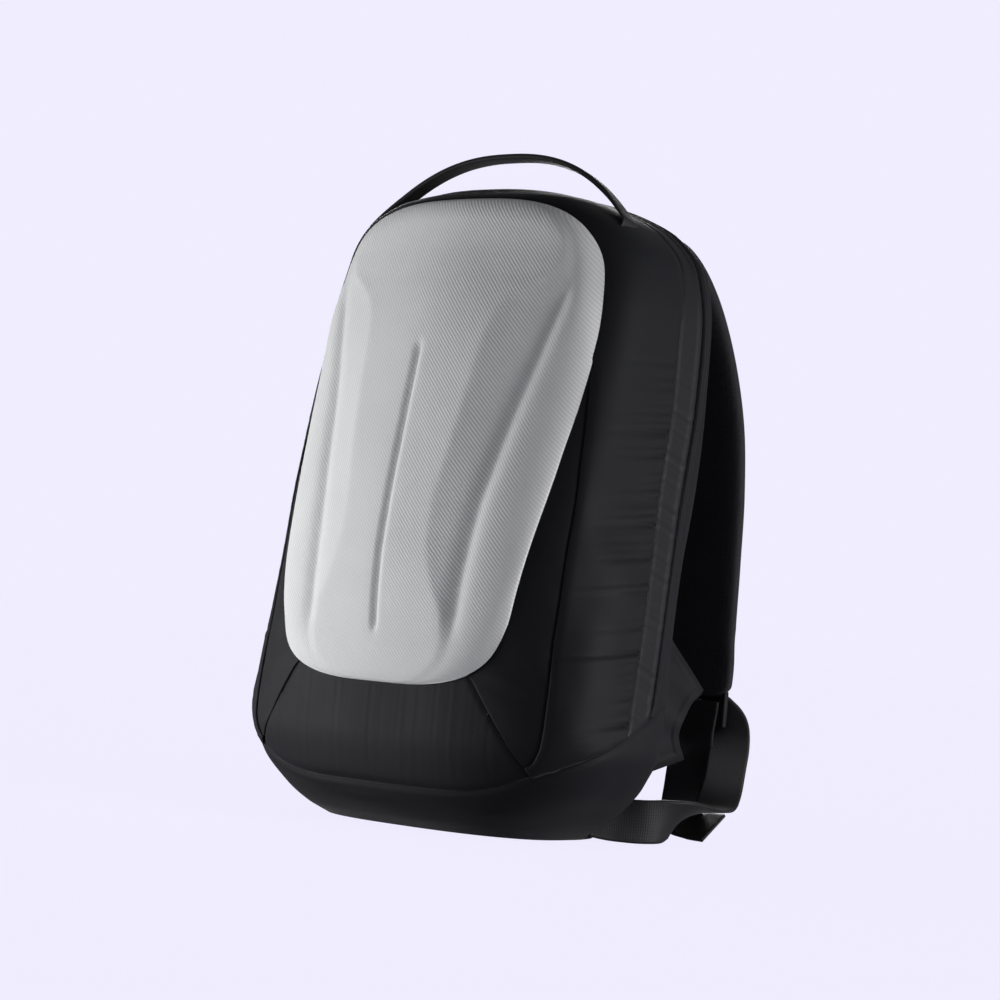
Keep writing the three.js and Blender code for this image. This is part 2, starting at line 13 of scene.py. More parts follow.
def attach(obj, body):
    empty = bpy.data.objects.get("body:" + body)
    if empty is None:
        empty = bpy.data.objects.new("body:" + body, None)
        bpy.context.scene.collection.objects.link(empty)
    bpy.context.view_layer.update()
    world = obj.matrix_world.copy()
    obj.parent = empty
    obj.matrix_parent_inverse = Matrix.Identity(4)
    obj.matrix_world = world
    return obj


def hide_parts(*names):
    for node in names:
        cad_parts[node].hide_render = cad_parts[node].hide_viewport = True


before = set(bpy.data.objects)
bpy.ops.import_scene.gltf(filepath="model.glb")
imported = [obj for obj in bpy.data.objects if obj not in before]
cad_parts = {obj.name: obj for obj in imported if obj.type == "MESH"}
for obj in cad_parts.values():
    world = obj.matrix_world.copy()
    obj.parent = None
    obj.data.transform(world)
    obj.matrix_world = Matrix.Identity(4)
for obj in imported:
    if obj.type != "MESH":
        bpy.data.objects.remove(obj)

LOG = logging.getLogger("backpack")
Array = np.ndarray
Socket = bpy.types.NodeSocket
MM = 0.001
BODY = "root"


class Side(Enum):
    """Which of the two mirrored sides a piece is on."""

    RIGHT = 1
    LEFT = -1

    @property
    def word(self) -> str:
        """The side's name as it stands in the names of nodes."""
        return self.name.lower()


def clamp(t: Array) -> Array:
    """Limit t to the range from 0 to 1."""
    return np.clip(t, 0.0, 1.0)


def smooth(t: Array) -> Array:
    """Ease from 0 to 1 as t goes from 0 to 1."""
    q = clamp(t)
    return q * q * (3 - 2 * q)


def quarter(t: Array, power: float) -> Array:
    """Height of a superellipse's quarter at the share t of its width."""
    return (1 - clamp(t) ** power) ** (1 / power)


def mix(a: Array, b: Array, t: Array) -> Array:
    """Go from a to b as t goes from 0 to 1."""
    return a + (b - a) * t


def between(t: Array, low: float, high: float, fade: float) -> Array:
    """Rise from 0 to 1 past low and fall back to 0 before high, each over the given fade."""
    return smooth((t - low) / fade) * smooth((high - t) / fade)


def stack(x: Array, y: Array, z: Array) -> Array:
    """Join three coordinates to an array of points.

    Args:
        x: First coordinate, in millimetres.
        y: Second coordinate.
        z: Third coordinate.

    Returns:
        The points, one in each row.
    """
    return np.stack(np.broadcast_arrays(x, y, z), -1).astype(float)


class Table:
    """Named columns against a first key column, read by a smooth curve that never overshoots."""

    def __init__(self, names: str, rows: Sequence[Sequence[float]]) -> None:
        """Keep the columns and work out their tangents.

        Args:
            names: Names of the columns, the key's first, with spaces between.
            rows: One row for each key.
        """
        data = np.array(rows, float)
        self.keys = data[:, 0]
        self.columns = {n: data[:, i] for i, n in enumerate(names.split())}
        self.tangents = {n: self._tangents(c) for n, c in self.columns.items()}

    def _tangents(self, values: Array) -> Array:
        """Work out the slope of the curve at each key, flat where the column turns round.

        Args:
            values: The column.

        Returns:
            One slope for each key.
        """
        span = np.diff(self.keys)
        slope = np.diff(values) / span
        out = np.empty_like(values)
        out[0], out[-1] = slope[0], slope[-1]
        for k in range(1, len(values) - 1):
            a, b = slope[k - 1], slope[k]
            wa, wb = 2 * span[k] + span[k - 1], span[k] + 2 * span[k - 1]
            out[k] = 0.0 if a * b <= 0 else (wa + wb) / (wa / a + wb / b)
        return out

    def at(self, name: str, key: Array) -> Array:
        """Read a column.

        Args:
            name: The column.
            key: Where to read it; keys outside the table take its ends.

        Returns:
            The column's values there.
        """
        q = np.clip(np.asarray(key, float), self.keys[0], self.keys[-1])
        i = np.clip(np.searchsorted(self.keys, q, side="left") - 1, 0, len(self.keys) - 2)
        h = self.keys[i + 1] - self.keys[i]
        t = (q - self.keys[i]) / h
        c, m = self.columns[name], self.tangents[name]
        return (
            c[i] * (2 * t**3 - 3 * t**2 + 1) + m[i] * h * (t**3 - 2 * t**2 + t)
            + c[i + 1] * (3 * t**2 - 2 * t**3) + m[i + 1] * h * (t**3 - t**2)
        )


class BodyForm:
    """The filled pack's outer cloth surface, as level sections of two superellipse halves."""

    table = Table("z half wide front back front_pow back_pow", [
        (0, 95, -20, -80, 42, 2.6, 3.4),
        (8, 107, -24, -95, 48, 2.7, 3.2),
        (20, 121, -28, -107, 49, 2.8, 3.1),
        (40, 140, -30, -115, 50, 2.9, 3.1),
        (65, 150, -30, -119, 52, 3.0, 3.2),
        (100, 146, -26, -119, 57, 3.1, 3.3),
        (130, 142, -21, -118, 60, 3.15, 3.4),
        (160, 139, -16, -115.5, 61.5, 3.3, 3.7),
        (195, 136, -8, -107, 63.5, 3.9, 4.2),
        (235, 133, -2, -96, 66, 5.0, 5.8),
        (310, 131, 8, -78, 68, 5.6, 9.0),
        (360, 130, 12, -66, 68, 5.6, 9.0),
        (395, 125, 12, -61, 67, 5.2, 8.0),
        (418.5, 109.5, 6, -64, 56, 4.4, 6.0),
        (431.2, 87.5, -5, -64, 40, 3.4, 4.6),
        (438.6, 62, -12, -54, 22, 2.8, 3.6),
        (443.4, 24, -16, -37, 3, 2.3, 2.6),
        (443.7, 4, -17, -21, -13, 2.2, 2.2),
    ])
    top = 443.7
    reach = 420.0
    cast_steps = 36
    normal_step = 0.4

    def get(self, name: str, z: Array) -> Array:
        """Read one column of the level sections."""
        return self.table.at(name, z)

    def front_y(self, x: Array, z: Array, proud: float = 0.0) -> Array:
        """Y of the front face.

        Args:
            x: Across, in millimetres.
            z: Up.
            proud: How far in front of the cloth.

        Returns:
            Y at each point.
        """
        wide = self.get("wide", z)
        depth = wide - self.get("front", z) + proud
        power = self.get("front_pow", z)
        share = np.minimum(np.abs(x) / (self.get("half", z) + proud), 0.9999)
        return wide - depth * (1 - share**power) ** (1 / power)

    def back_y(self, x: Array, z: Array) -> Array:
        """Y of the back face.

        Args:
            x: Across, in millimetres.
            z: Up.

        Returns:
            Y at each point.
        """
        wide, power = self.get("wide", z), self.get("back_pow", z)
        share = np.minimum(np.abs(x) / self.get("half", z), 0.9999)
        return wide + (self.get("back", z) - wide) * (1 - share**power) ** (1 / power)

    def side_x(self, y: Array, z: Array) -> Array:
        """Half width of the level sections.

        Args:
            y: Front to back, in millimetres.
            z: Up.

        Returns:
            Half width at each point.
        """
        wide = self.get("wide", z)
        ahead = y < wide
        depth = np.where(ahead, wide - self.get("front", z), self.get("back", z) - wide)
        power = np.where(ahead, self.get("front_pow", z), self.get("back_pow", z))
        share = np.minimum(np.abs(y - wide) / depth, 1.0)
        return self.get("half", z) * (1 - share**power) ** (1 / power)

    def excess(self, points: Array, closed: bool = True) -> Array:
        """Measure how far points are outside the pack.

        Args:
            points: The points.
            closed: Count everything above and below the pack as outside.

        Returns:
            Below zero inside the pack and above zero outside it.
        """
        x, y, z = points[..., 0], points[..., 1], points[..., 2]
        wide = self.get("wide", z)
        ahead = y < wide
        depth = np.where(ahead, wide - self.get("front", z), self.get("back", z) - wide)
        power = np.where(ahead, self.get("front_pow", z), self.get("back_pow", z))
        f = (np.abs(x) / self.get("half", z)) ** power + (np.abs(y - wide) / depth) ** power - 1
        return np.where(closed & ((z > self.top) | (z < 0)), 1.0, f)

    def normal(self, points: Array) -> Array:
        """Find which way the cloth faces.

        Args:
            points: Points near the cloth.

        Returns:
            Outward unit normals.
        """
        step = self.normal_step
        parts = []
        for axis in range(3):
            shift = np.zeros(3)
            shift[axis] = step
            parts.append(self.excess(points + shift, False) - self.excess(points - shift, False))
        out = np.stack(parts, -1)
        return out / np.maximum(np.linalg.norm(out, axis=-1, keepdims=True), 1e-9)

    def cast(self, origin: Array, direction: Array) -> Array:
        """Follow rays from inside the pack to its surface.

        Args:
            origin: Points inside the pack.
            direction: Unit vectors.

        Returns:
            The points where the rays meet the cloth.
        """
        near, far = np.zeros(direction.shape[0]), np.full(direction.shape[0], self.reach)
        for _ in range(self.cast_steps):
            middle = (near + far) / 2
            inside = self.excess(origin + direction * middle[:, None]) < 0
            near, far = np.where(inside, middle, near), np.where(inside, far, middle)
        return origin + direction * near[:, None]


class ShellForm:
    """The moulded front shell: outline, relief lines and outer face."""

    edge = Table("z edge_x edge_y crown_y", [
        (96, 87, -117, -126), (125, 92.5, -114.8, -127.4), (145, 97.6, -111, -128.8),
        (160, 99.6, -108, -129.4), (180, 102.3, -104, -129.2), (200, 104.6, -99.2, -127.4),
        (220, 107, -93.6, -125), (240, 109.5, -87.6, -122), (260, 111.6, -81.8, -118.4),
        (280, 114, -75.6, -115), (300, 115.6, -69.8, -111.4), (320, 116.8, -64.8, -107.8),
        (340, 117, -61, -103.8), (355, 117, -58, -100), (368, 117, -55.4, -96),
        (382, 117, -54, -91), (400, 117, -55, -85), (434, 117, -64, -77),
    ])
    relief = Table("z valley_x valley_y ridge_x ridge_y", [
        (96, 62, -123.8, 50, -125), (125, 61.5, -123.4, 54.5, -125.2), (145, 61.5, -122.6, 53.6, -126.2),
        (160, 62.4, -121.6, 46.4, -127.2), (180, 63.7, -119.2, 39.7, -126.9),
        (200, 65.3, -116.5, 36.3, -125.2), (220, 67.4, -113, 36.3, -122.8),
        (240, 70.7, -108.4, 39.4, -119.8), (260, 74, -103.3, 42, -116.2), (280, 77.4, -98, 44.4, -112.3),
        (300, 81.5, -92.6, 46.6, -108.2), (320, 86.2, -87.4, 48.4, -103.8), (340, 90.7, -82.4, 51, -98.6),
        (355, 94.4, -78.4, 56.5, -93), (368, 98, -74.6, 70, -86), (382, 102, -70.6, 90, -77),
        (400, 104, -69, 98, -72.5), (434, 106, -69, 102, -70.5),
    ])
    bottom, top = 96.5, 433.5
    bottom_round, bottom_pow = 42.0, 3.0
    top_round, top_pow = 100.0, 3.2
    rim, seat = 1.4, 0.35
    band_pow, crown_soft = 1.65, 0.45
    end_round, end_pow, corner_round = 17.0, 2.2, 48.0
    groove_depth, groove_half, groove_low, groove_high, groove_fade = 2.8, 2.3, 126.0, 333.0, 12.0
    valley_depth, valley_half, valley_low, valley_high, valley_fade = 2.6, 6.0, 120.0, 384.0, 30.0
    soften, soften_rim = (-1.4, -0.7, 0.0, 0.7, 1.4), 6.0

    def __init__(self, body: BodyForm) -> None:
        """Keep the cloth that the shell is seated on."""
        self.body = body

    def half(self, z: Array) -> Array:
        """Half width of the outline.

        Args:
            z: Levels, in millimetres.

        Returns:
            Half width at each level.
        """
        low = clamp((self.bottom + self.bottom_round - z) / self.bottom_round)
        high = clamp((z - self.top + self.top_round) / self.top_round)
        return self.edge.at("edge_x", z) * quarter(low, self.bottom_pow) * quarter(high, self.top_pow)

    def lower(self, x: Array) -> Array:
        """Level of the lower outline at x."""
        share = clamp(np.abs(x) / self.edge.at("edge_x", self.bottom + 20))
        return self.bottom + self.bottom_round * (1 - quarter(share, self.bottom_pow))

    def _raw(self, x: Array, z: Array) -> Array:
        """Y of the relief with sharp lines and without the rolled ends.

        Args:
            x: Across, in millimetres.
            z: Up.

        Returns:
            Y at each point.
        """
        half = np.maximum(self.half(z), 1e-3)
        draw = half / self.edge.at("edge_x", z)
        valley, ridge = self.relief.at("valley_x", z) * draw, self.relief.at("ridge_x", z) * draw
        edge_y, crown = self.edge.at("edge_y", z), self.edge.at("crown_y", z)
        valley_y, ridge_y = self.relief.at("valley_y", z), self.relief.at("ridge_y", z)
        a = np.minimum(np.abs(x), half)
        band = edge_y - (edge_y - valley_y) * quarter((a - valley) / (half - valley), self.band_pow)
        flank = ridge_y + (valley_y - ridge_y) * (a - ridge) / (valley - ridge)
        soft = self.crown_soft
        bow = (np.sqrt((a / ridge) ** 2 + soft**2) - soft) / (math.sqrt(1 + soft**2) - soft)
        middle = crown + (ridge_y - crown) * bow
        return np.where(a <= ridge, middle, np.where(a <= valley, flank, band))

    def face_y(self, x: Array, z: Array) -> Array:
        """Y of the outer face.

        Args:
            x: Across, in millimetres.
            z: Up.

        Returns:
            Y at each point, seated in front of the cloth.
        """
        half = self.half(z)
        room = clamp((half - np.abs(x)) / self.soften_rim)
        y = sum(self._raw(np.abs(x) + d * room, z) for d in self.soften) / len(self.soften)
        a = np.abs(x)
        fade = between(z, self.groove_low, self.groove_high, self.groove_fade)
        y = y + self.groove_depth * fade * np.exp(-((a / self.groove_half) ** 2))
        valley = self.relief.at("valley_x", z) * half / self.edge.at("edge_x", z)
        fade = between(z, self.valley_low, self.valley_high, self.valley_fade)
        y = y + self.valley_depth * fade * np.exp(-np.abs((a - valley) / self.valley_half) ** 1.7)
        share = clamp(a / self.edge.at("edge_x", z))
        low = z - self.bottom - self.bottom_round * (1 - quarter(share, self.bottom_pow))
        high = self.top - self.top_round * (1 - quarter(share, self.top_pow)) - z
        ends = np.maximum(np.minimum(low, high), 0.0)
        roll = quarter(1 - clamp(ends / self.end_round), self.end_pow)
        roll = mix(roll, smooth(ends / self.corner_round), share**8)
        rest = self.body.front_y(x, z, self.seat) - self.rim
        return np.minimum(rest + (y - rest) * roll, rest)


class SeamLines:
    """Where the cloth panels meet."""

    round = Table("z tape zip panel", [
        (30, -50, -29, 36), (90, -33, -11.5, 41), (140, -17.5, 4.5, 46), (200, -4.5, 18, 51),
        (270, 7, 32, 54), (300, 12, 37, 55), (350, 14, 40, 56), (395, 17, 36, 54),
        (418.5, 9, 26, 43), (431.2, -2, 12, 27), (438.6, -11, 2, 13), (448.6, -25, -13, -4),
    ])
    side = Table("z y", [(20, -98), (57, -97.5), (103, -94), (161, -87), (227, -78.5), (318, -65.5)])
    boot = Table("y z", [
        (-160, 28.5), (-110, 29), (-103, 34), (-96, 43.5), (-82, 51.5), (-69.5, 58.5), (-47, 69.5),
        (-31, 77.5), (-11, 87.5), (12, 94.5), (40, 97), (160, 97),
    ])
    side_top = 318.0
    turn_z = 332.0
    apron_high, apron_low = (64.8, 121.0), (131.3, 25.0)
    gap = -0.6
    zip_gap = 3.0
    tuck = 3.6
    lap = 10.0
    wedge_foot = 50.0
    apron_top = 112.0

    def __init__(self, body: BodyForm, shell: ShellForm) -> None:
        """Keep the surfaces that the seams lie on."""
        self.body, self.shell = body, shell

    def apron_x(self, z: Array) -> Array:
        """Half width of the apron between its slanted seams."""
        (hx, hz), (lx, lz) = self.apron_high, self.apron_low
        return hx + (np.asarray(z, float) - hz) * (lx - hx) / (lz - hz)

    def side_seam(self, z: Array) -> tuple[Array, Array]:
        """Follow the right side seam, which runs out into the apron's seam at its foot.

        Args:
            z: Levels, in millimetres.

        Returns:
            X and Y at each level.
        """
        y = self.side.at("y", z)
        x = self.body.side_x(y, z)
        foot = self.apron_x(z)
        under = np.asarray(z) < self.wedge_foot
        return np.where(under, foot, x), np.where(under, self.body.front_y(foot, z), y)

    def under_shell(self, z: Array) -> Array:
        """X on the cloth behind the shell's edge at a level."""
        return self.shell.half(z) - self.lap

    def front_edge(self, z: Array) -> tuple[Array, Array]:
        """Follow the side panel's front edge, which runs in under the shell above the side seam.

        Args:
            z: Levels, in millimetres.

        Returns:
            X and Y at each level.
        """
        x, y = self.side_seam(z)
        t = smooth((z - self.side_top) / (self.turn_z - self.side_top))
        x = mix(x, self.under_shell(z), t)
        return x, np.where(t > 0, mix(y, self.body.front_y(x, z), smooth(t * 4)), y)


@dataclass
class Spread:
    """A laid-out grid of cloth, with distances in millimetres from its four edges."""

    u: Array
    v: Array
    points: Array
    left: Array
    right: Array
    low: Array
    high: Array


Placer = Callable[[Array, Array], Array]
Swell = Callable[[Spread], Array]


def lay_grid(
    name: str, columns: int, rows: int, place: Placer, swell: Swell | None = None, flip: bool = False,
    normals: Callable[[Array], Array] | None = None,
) -> bpy.types.Object:
    """Make a grid and lay it on a surface.

    Args:
        name: The piece's name.
        columns: Faces across.
        rows: Faces up.
        place: Gives the points in millimetres for shares across and up.
        swell: Gives how far each point stands proud, in millimetres.
        flip: Turn the outer face round.
        normals: Gives the outward directions at points of the surface; worked out from the grid if left out.

    Returns:
        The new object, with a UV map named weave in metres along the cloth.
    """
    bm = bmesh.new()
    bmesh.ops.create_grid(bm, x_segments=columns, y_segments=rows, size=0.5)
    if flip:
        bmesh.ops.reverse_faces(bm, faces=bm.faces[:])
    mesh = bpy.data.meshes.new(name)
    bm.to_mesh(mesh)
    bm.free()
    flat = np.zeros(len(mesh.vertices) * 3)
    mesh.vertices.foreach_get("co", flat)
    flat = flat.reshape(-1, 3)
    column = np.rint((flat[:, 0] + 0.5) * columns).astype(int)
    row = np.rint((flat[:, 1] + 0.5) * rows).astype(int)
    u, v = np.meshgrid(np.linspace(0, 1, columns + 1), np.linspace(0, 1, rows + 1))
    points = place(u.ravel(), v.ravel()).reshape(rows + 1, columns + 1, 3)
    across = np.linalg.norm(np.diff(points, axis=1), axis=2)
    up = np.linalg.norm(np.diff(points, axis=0), axis=2)
    left = np.pad(np.cumsum(across, 1), ((0, 0), (1, 0)))
    low = np.pad(np.cumsum(up, 0), ((1, 0), (0, 0)))
    right, high = left[:, -1:] - left, low[-1:, :] - low
    if swell is not None:
        height = swell(Spread(u, v, points, left, right, low, high))
        if normals is None:
            normal = np.cross(np.gradient(points, axis=1), np.gradient(points, axis=0))
            normal /= np.maximum(np.linalg.norm(normal, axis=2, keepdims=True), 1e-9)
            normal = -normal if flip else normal
        else:
            normal = normals(points)
        points = points + normal * height[..., None]
    mesh.vertices.foreach_set("co", (points[row, column] * MM).ravel())
    layer = mesh.uv_layers.new(name="weave")
    corner = np.zeros(len(mesh.loops), int)
    mesh.loops.foreach_get("vertex_index", corner)
    middle = left[:, columns // 2][:, None]
    weave = np.stack([left - middle, low], -1)[row, column][corner] * MM
    layer.data.foreach_set("uv", weave.ravel())
    mesh.update()
    for polygon in mesh.polygons:
        polygon.use_smooth = True
    obj = bpy.data.objects.new(name, mesh)
    bpy.context.scene.collection.objects.link(obj)
    return obj


def close_ring(obj: bpy.types.Object, cap: bool = True) -> None:
    """Weld a grid whose two side edges meet, and close its open ends.

    Args:
        obj: The piece.
        cap: Fill the two open ends.
    """
    bm = bmesh.new()
    bm.from_mesh(obj.data)
    bmesh.ops.remove_doubles(bm, verts=bm.verts[:], dist=1e-6)
    if cap:
        edges = [e for e in bm.edges if e.is_boundary]
        filled = bmesh.ops.holes_fill(bm, edges=edges, sides=0)["faces"]
        bmesh.ops.triangulate(bm, faces=filled)
    bmesh.ops.recalc_face_normals(bm, faces=bm.faces[:])
    bm.to_mesh(obj.data)
    bm.free()
    for polygon in obj.data.polygons:
        polygon.use_smooth = True


def thicken(obj: bpy.types.Object, wall: float, offset: float = -1.0) -> None:
    """Give a sheet its wall.

    Args:
        obj: The piece.
        wall: Thickness in millimetres.
        offset: Where the modelled face lies in the wall: -1 outside, 0 in the middle.
    """
    solid = obj.modifiers.new("wall", "SOLIDIFY")
    solid.thickness = wall * MM
    solid.offset = offset
    solid.use_quality_normals = True


def wander(along: Array, pitch: float, seed: int) -> Array:
    """An uneven wave along a seam.

    Args:
        along: Distance in millimetres.
        pitch: Usual distance from crest to crest.
        seed: Which wave.

    Returns:
        Heights from about -1 to 1.
    """
    rng = np.random.default_rng(seed)
    out = np.zeros_like(along, dtype=float)
    for share in (0.62, 0.83, 1.0, 1.31, 1.74):
        out += rng.uniform(0.5, 1.0) * np.sin(2 * np.pi * along / (pitch * share) + rng.uniform(0, 6.28))
    return out / 2.6


def pillow(s: Spread, edges: str, depth: float = 1.5, reach: float = 7.0) -> Array:
    """Draw cloth in towards its seams.

    Args:
        s: The laid-out grid.
        edges: Names of the sewn edges, with spaces between.
        depth: How far the edge dips, in millimetres.
        reach: Width of the dip.

    Returns:
        Heights, below zero at the seams.
    """
    away = np.min([getattr(s, e) for e in edges.split()], axis=0)
    return -depth * (1 - smooth(away / reach)) ** 1.5


class Nodes:
    """Short calls to build one material's node tree."""

    def __init__(self, name: str) -> None:
        """Start a material with a bare surface shader.

        Args:
            name: The material's name.
        """
        self.material = bpy.data.materials.new(name)
        self.material.use_nodes = True
        self.tree = self.material.node_tree
        self.shader = self.tree.nodes["Principled BSDF"]

    def add(self, kind: str, inputs: dict | None = None, **settings: object) -> bpy.types.Node:
        """Add a node.

        Args:
            kind: Blender's name of the node.
            inputs: Sockets by name: a socket to link from, or a value.
            settings: Properties of the node.

        Returns:
            The node.
        """
        node = self.tree.nodes.new(kind)
        for key, value in settings.items():
            setattr(node, key, value)
        for key, value in (inputs or {}).items():
            self.put(node, key, value)
        return node

    def put(self, node: bpy.types.Node, key: str | int, value: object) -> None:
        """Link or set one socket.

        Args:
            node: The node.
            key: The socket's name or number.
            value: A socket to link from, or a value.
        """
        socket = node.inputs[key]
        if isinstance(value, Socket):
            self.tree.links.new(value, socket)
        else:
            socket.default_value = value

    def math(self, operation: str, a: object, b: object = 0.0) -> Socket:
        """One step of arithmetic."""
        return self.add("ShaderNodeMath", {0: a, 1: b}, operation=operation).outputs[0]

    def weave_place(self, scale: tuple[float, float, float], turn: float = 0.0) -> Socket:
        """Coordinates along the cloth.

        Args:
            scale: Scale in each direction.
            turn: Turn in degrees.

        Returns:
            The coordinates.
        """
        place = self.add("ShaderNodeUVMap", uv_map="weave").outputs["UV"]
        turned = (0.0, 0.0, math.radians(turn))
        return self.add("ShaderNodeMapping", {"Vector": place, "Rotation": turned, "Scale": scale}).outputs[0]

    def front_place(self, turn: float) -> Socket:
        """Coordinates across and up the pack's front.

        Args:
            turn: Turn in degrees.

        Returns:
            The coordinates.
        """
        apart = self.add("ShaderNodeSeparateXYZ", {0: self.object_place()})
        flat = self.add("ShaderNodeCombineXYZ", {0: apart.outputs[0], 1: apart.outputs[2]}).outputs[0]
        turned = (0.0, 0.0, math.radians(turn))
        return self.add("ShaderNodeMapping", {"Vector": flat, "Rotation": turned}).outputs[0]

    def object_place(self) -> Socket:
        """Coordinates of the object."""
        return self.add("ShaderNodeTexCoord").outputs["Object"]

    def noise(self, place: Socket, scale: float, detail: float = 3.0) -> Socket:
        """A noise value from 0 to 1."""
        node = self.add("ShaderNodeTexNoise", {"Vector": place, "Scale": scale, "Detail": detail})
        return node.outputs[0]

    def wave(self, place: Socket, pitch: float, axis: str = "X", bend: float = 0.0) -> Socket:
        """Bands across a direction.

        Args:
            place: Coordinates.
            pitch: Distance from band to band, in millimetres.
            axis: The direction.
            bend: How far the bands wander.

        Returns:
            Values from 0 to 1.
        """
        scale = math.pi / 10 / (pitch * MM)
        sockets = {"Vector": place, "Scale": scale, "Distortion": bend, "Detail": 1.0, "Detail Scale": 1.5}
        return self.add("ShaderNodeTexWave", sockets, bands_direction=axis, wave_profile="SIN").outputs[1]

    def tint(self, value: Socket, low: Sequence[float], high: Sequence[float]) -> Socket:
        """A colour between two.

        Args:
            value: From 0 to 1.
            low: Colour at 0.
            high: Colour at 1.

        Returns:
            The colour.
        """
        ramp = self.add("ShaderNodeValToRGB", {"Fac": value})
        ramp.color_ramp.elements[0].color = (*low, 1)
        ramp.color_ramp.elements[1].color = (*high, 1)
        return ramp.outputs[0]

    def bump(self, height: Socket, distance: float, strength: float = 1.0,
             under: Socket | None = None) -> Socket:
        """A bump, on top of another if one is given.

        Args:
            height: From 0 to 1.
            distance: Height at 1, in metres.
            strength: Share of the bump that is used.
            under: The bump below.

        Returns:
            The normal.
        """
        node = self.add("ShaderNodeBump", {"Height": height, "Distance": distance, "Strength": strength})
        if under is not None:
            self.put(node, "Normal", under)
        return node.outputs[0]

    def surface(self, **sockets: object) -> bpy.types.Material:
        """Set the shader's sockets.

        Args:
            sockets: Values or links by name, with _ for a space.

        Returns:
            The material.
        """
        for key, value in sockets.items():
            self.put(self.shader, key.replace("_", " "), value)
        return self.material


def shade(color: Sequence[float], share: float) -> tuple[float, ...]:
    """A colour made lighter or darker."""
    return tuple(c * share for c in color)


@dataclass(frozen=True)
class TwillFinish:
    """Grey diagonal twill over the moulded shell."""

    slot: str = "grey_twill"
    color: tuple[float, float, float] = (0.71, 0.718, 0.716)
    pitch: float = 1.95
    turn: float = -42.0

    def material(self) -> bpy.types.Material:
        """Build the material.

        Returns:
            The material.
        """
        n = Nodes("grey_twill_cloth")
        lines = n.wave(n.front_place(self.turn), self.pitch, bend=0.4)
        thread = n.wave(n.front_place(self.turn + 90), self.pitch / 2.5, bend=0.3)
        blot = n.noise(n.object_place(), 38.0)
        fleck = n.noise(n.object_place(), 700.0, 2.0)
        broken = n.math("MULTIPLY", lines, n.math("ADD", fleck, 0.45))
        tone = n.math("MULTIPLY_ADD", broken, 0.62)
        n.put(tone.node, 2, n.math("MULTIPLY", blot, 0.38))
        color = n.tint(tone, shade(self.color, 0.86), shade(self.color, 1.1))
        fine = n.bump(thread, 0.00008, 0.35)
        normal = n.bump(broken, 0.00026, 0.5, fine)
        return n.surface(Base_Color=color, Roughness=0.82, Normal=normal, Sheen_Weight=0.18,
                         Sheen_Roughness=0.5, Specular_IOR_Level=0.25)


@dataclass(frozen=True)
class NylonFinish:
    """Black plain-weave nylon of the body."""

    slot: str = "black_nylon"
    color: tuple[float, float, float] = (0.0066, 0.0068, 0.0094)
    roughness: float = 0.62
    pitch: float = 0.75

    def material(self) -> bpy.types.Material:
        """Build the material.

        Returns:
            The material.
        """
        n = Nodes(self.slot + "_cloth")
        warp = n.wave(n.weave_place((1, 1, 1)), self.pitch, "X")
        weft = n.wave(n.weave_place((1, 1, 1)), self.pitch, "Y")
        weave = n.math("MULTIPLY", warp, weft)
        rub = n.noise(n.object_place(), 17.0, 5.0)
        slub = n.noise(n.weave_place((40, 900, 1)), 1.0, 2.0)
        tone = n.math("MULTIPLY_ADD", slub, 0.45)
        n.put(tone.node, 2, n.math("MULTIPLY", rub, 0.55))
        color = n.tint(tone, shade(self.color, 0.55), shade(self.color, 1.5))
        normal = n.bump(weave, 0.00012, 0.4, n.bump(rub, 0.0012, 0.25))
        rough = n.add("ShaderNodeMapRange", {"Value": rub, "To Min": self.roughness - 0.07,
                                             "To Max": self.roughness + 0.1}).outputs[0]
        return n.surface(Base_Color=color, Roughness=rough, Normal=normal, Sheen_Weight=0.08,
                         Sheen_Roughness=0.4, Specular_IOR_Level=0.17)


@dataclass(frozen=True)
class WebbingFinish:
    """Black woven webbing with ribs across its length."""

    slot: str = "black_webbing"
    color: tuple[float, float, float] = (0.0135, 0.0135, 0.0155)

    def material(self) -> bpy.types.Material:
        """Build the material.

        Returns:
            The material.
        """
        n = Nodes("black_webbing_weave")
        ribs = n.wave(n.weave_place((1, 1, 1)), 1.7, "Y", 0.2)
        cords = n.wave(n.weave_place((1, 1, 1)), 2.1, "X", 0.4)
        weave = n.math("ADD", n.math("MULTIPLY", ribs, 0.65), n.math("MULTIPLY", cords, 0.35))
        rub = n.noise(n.object_place(), 60.0)
        tone = n.math("MULTIPLY_ADD", weave, 0.6)
        n.put(tone.node, 2, n.math("MULTIPLY", rub, 0.4))
        color = n.tint(tone, shade(self.color, 0.75), shade(self.color, 1.3))
        return n.surface(Base_Color=color, Roughness=0.6, Normal=n.bump(weave, 0.0003, 0.4),
                         Sheen_Weight=0.08, Sheen_Roughness=0.4, Specular_IOR_Level=0.24)


@dataclass(frozen=True)
class AirMeshFinish:
    """Padded black knit with small open cells."""

    slot: str = "black_air_mesh"
    color: tuple[float, float, float] = (0.0165, 0.0165, 0.0195)

    def material(self) -> bpy.types.Material:
        """Build the material.

        Returns:
            The material.
        """
        n = Nodes("black_air_mesh_knit")
        spread = {"Vector": n.object_place(), "Scale": 330.0, "Randomness": 0.35}
        cells = n.add("ShaderNodeTexVoronoi", spread)
        ring = n.math("SMOOTH_MIN", cells.outputs["Distance"], 0.42)
        rub = n.noise(n.object_place(), 24.0)
        # Painted shade: the tone, and so the colour, is darkest in the middle of each cell, standing in for
        # the shade inside the knit's open holes; the rub noise adds random tone.
        tone = n.math("MULTIPLY_ADD", ring, 1.3)
        n.put(tone.node, 2, n.math("MULTIPLY", rub, 0.4))
        color = n.tint(tone, shade(self.color, 0.45), shade(self.color, 1.7))
        return n.surface(Base_Color=color, Roughness=0.85, Normal=n.bump(ring, 0.0007, 0.6),
                         Sheen_Weight=0.05, Sheen_Roughness=0.5, Specular_IOR_Level=0.25)


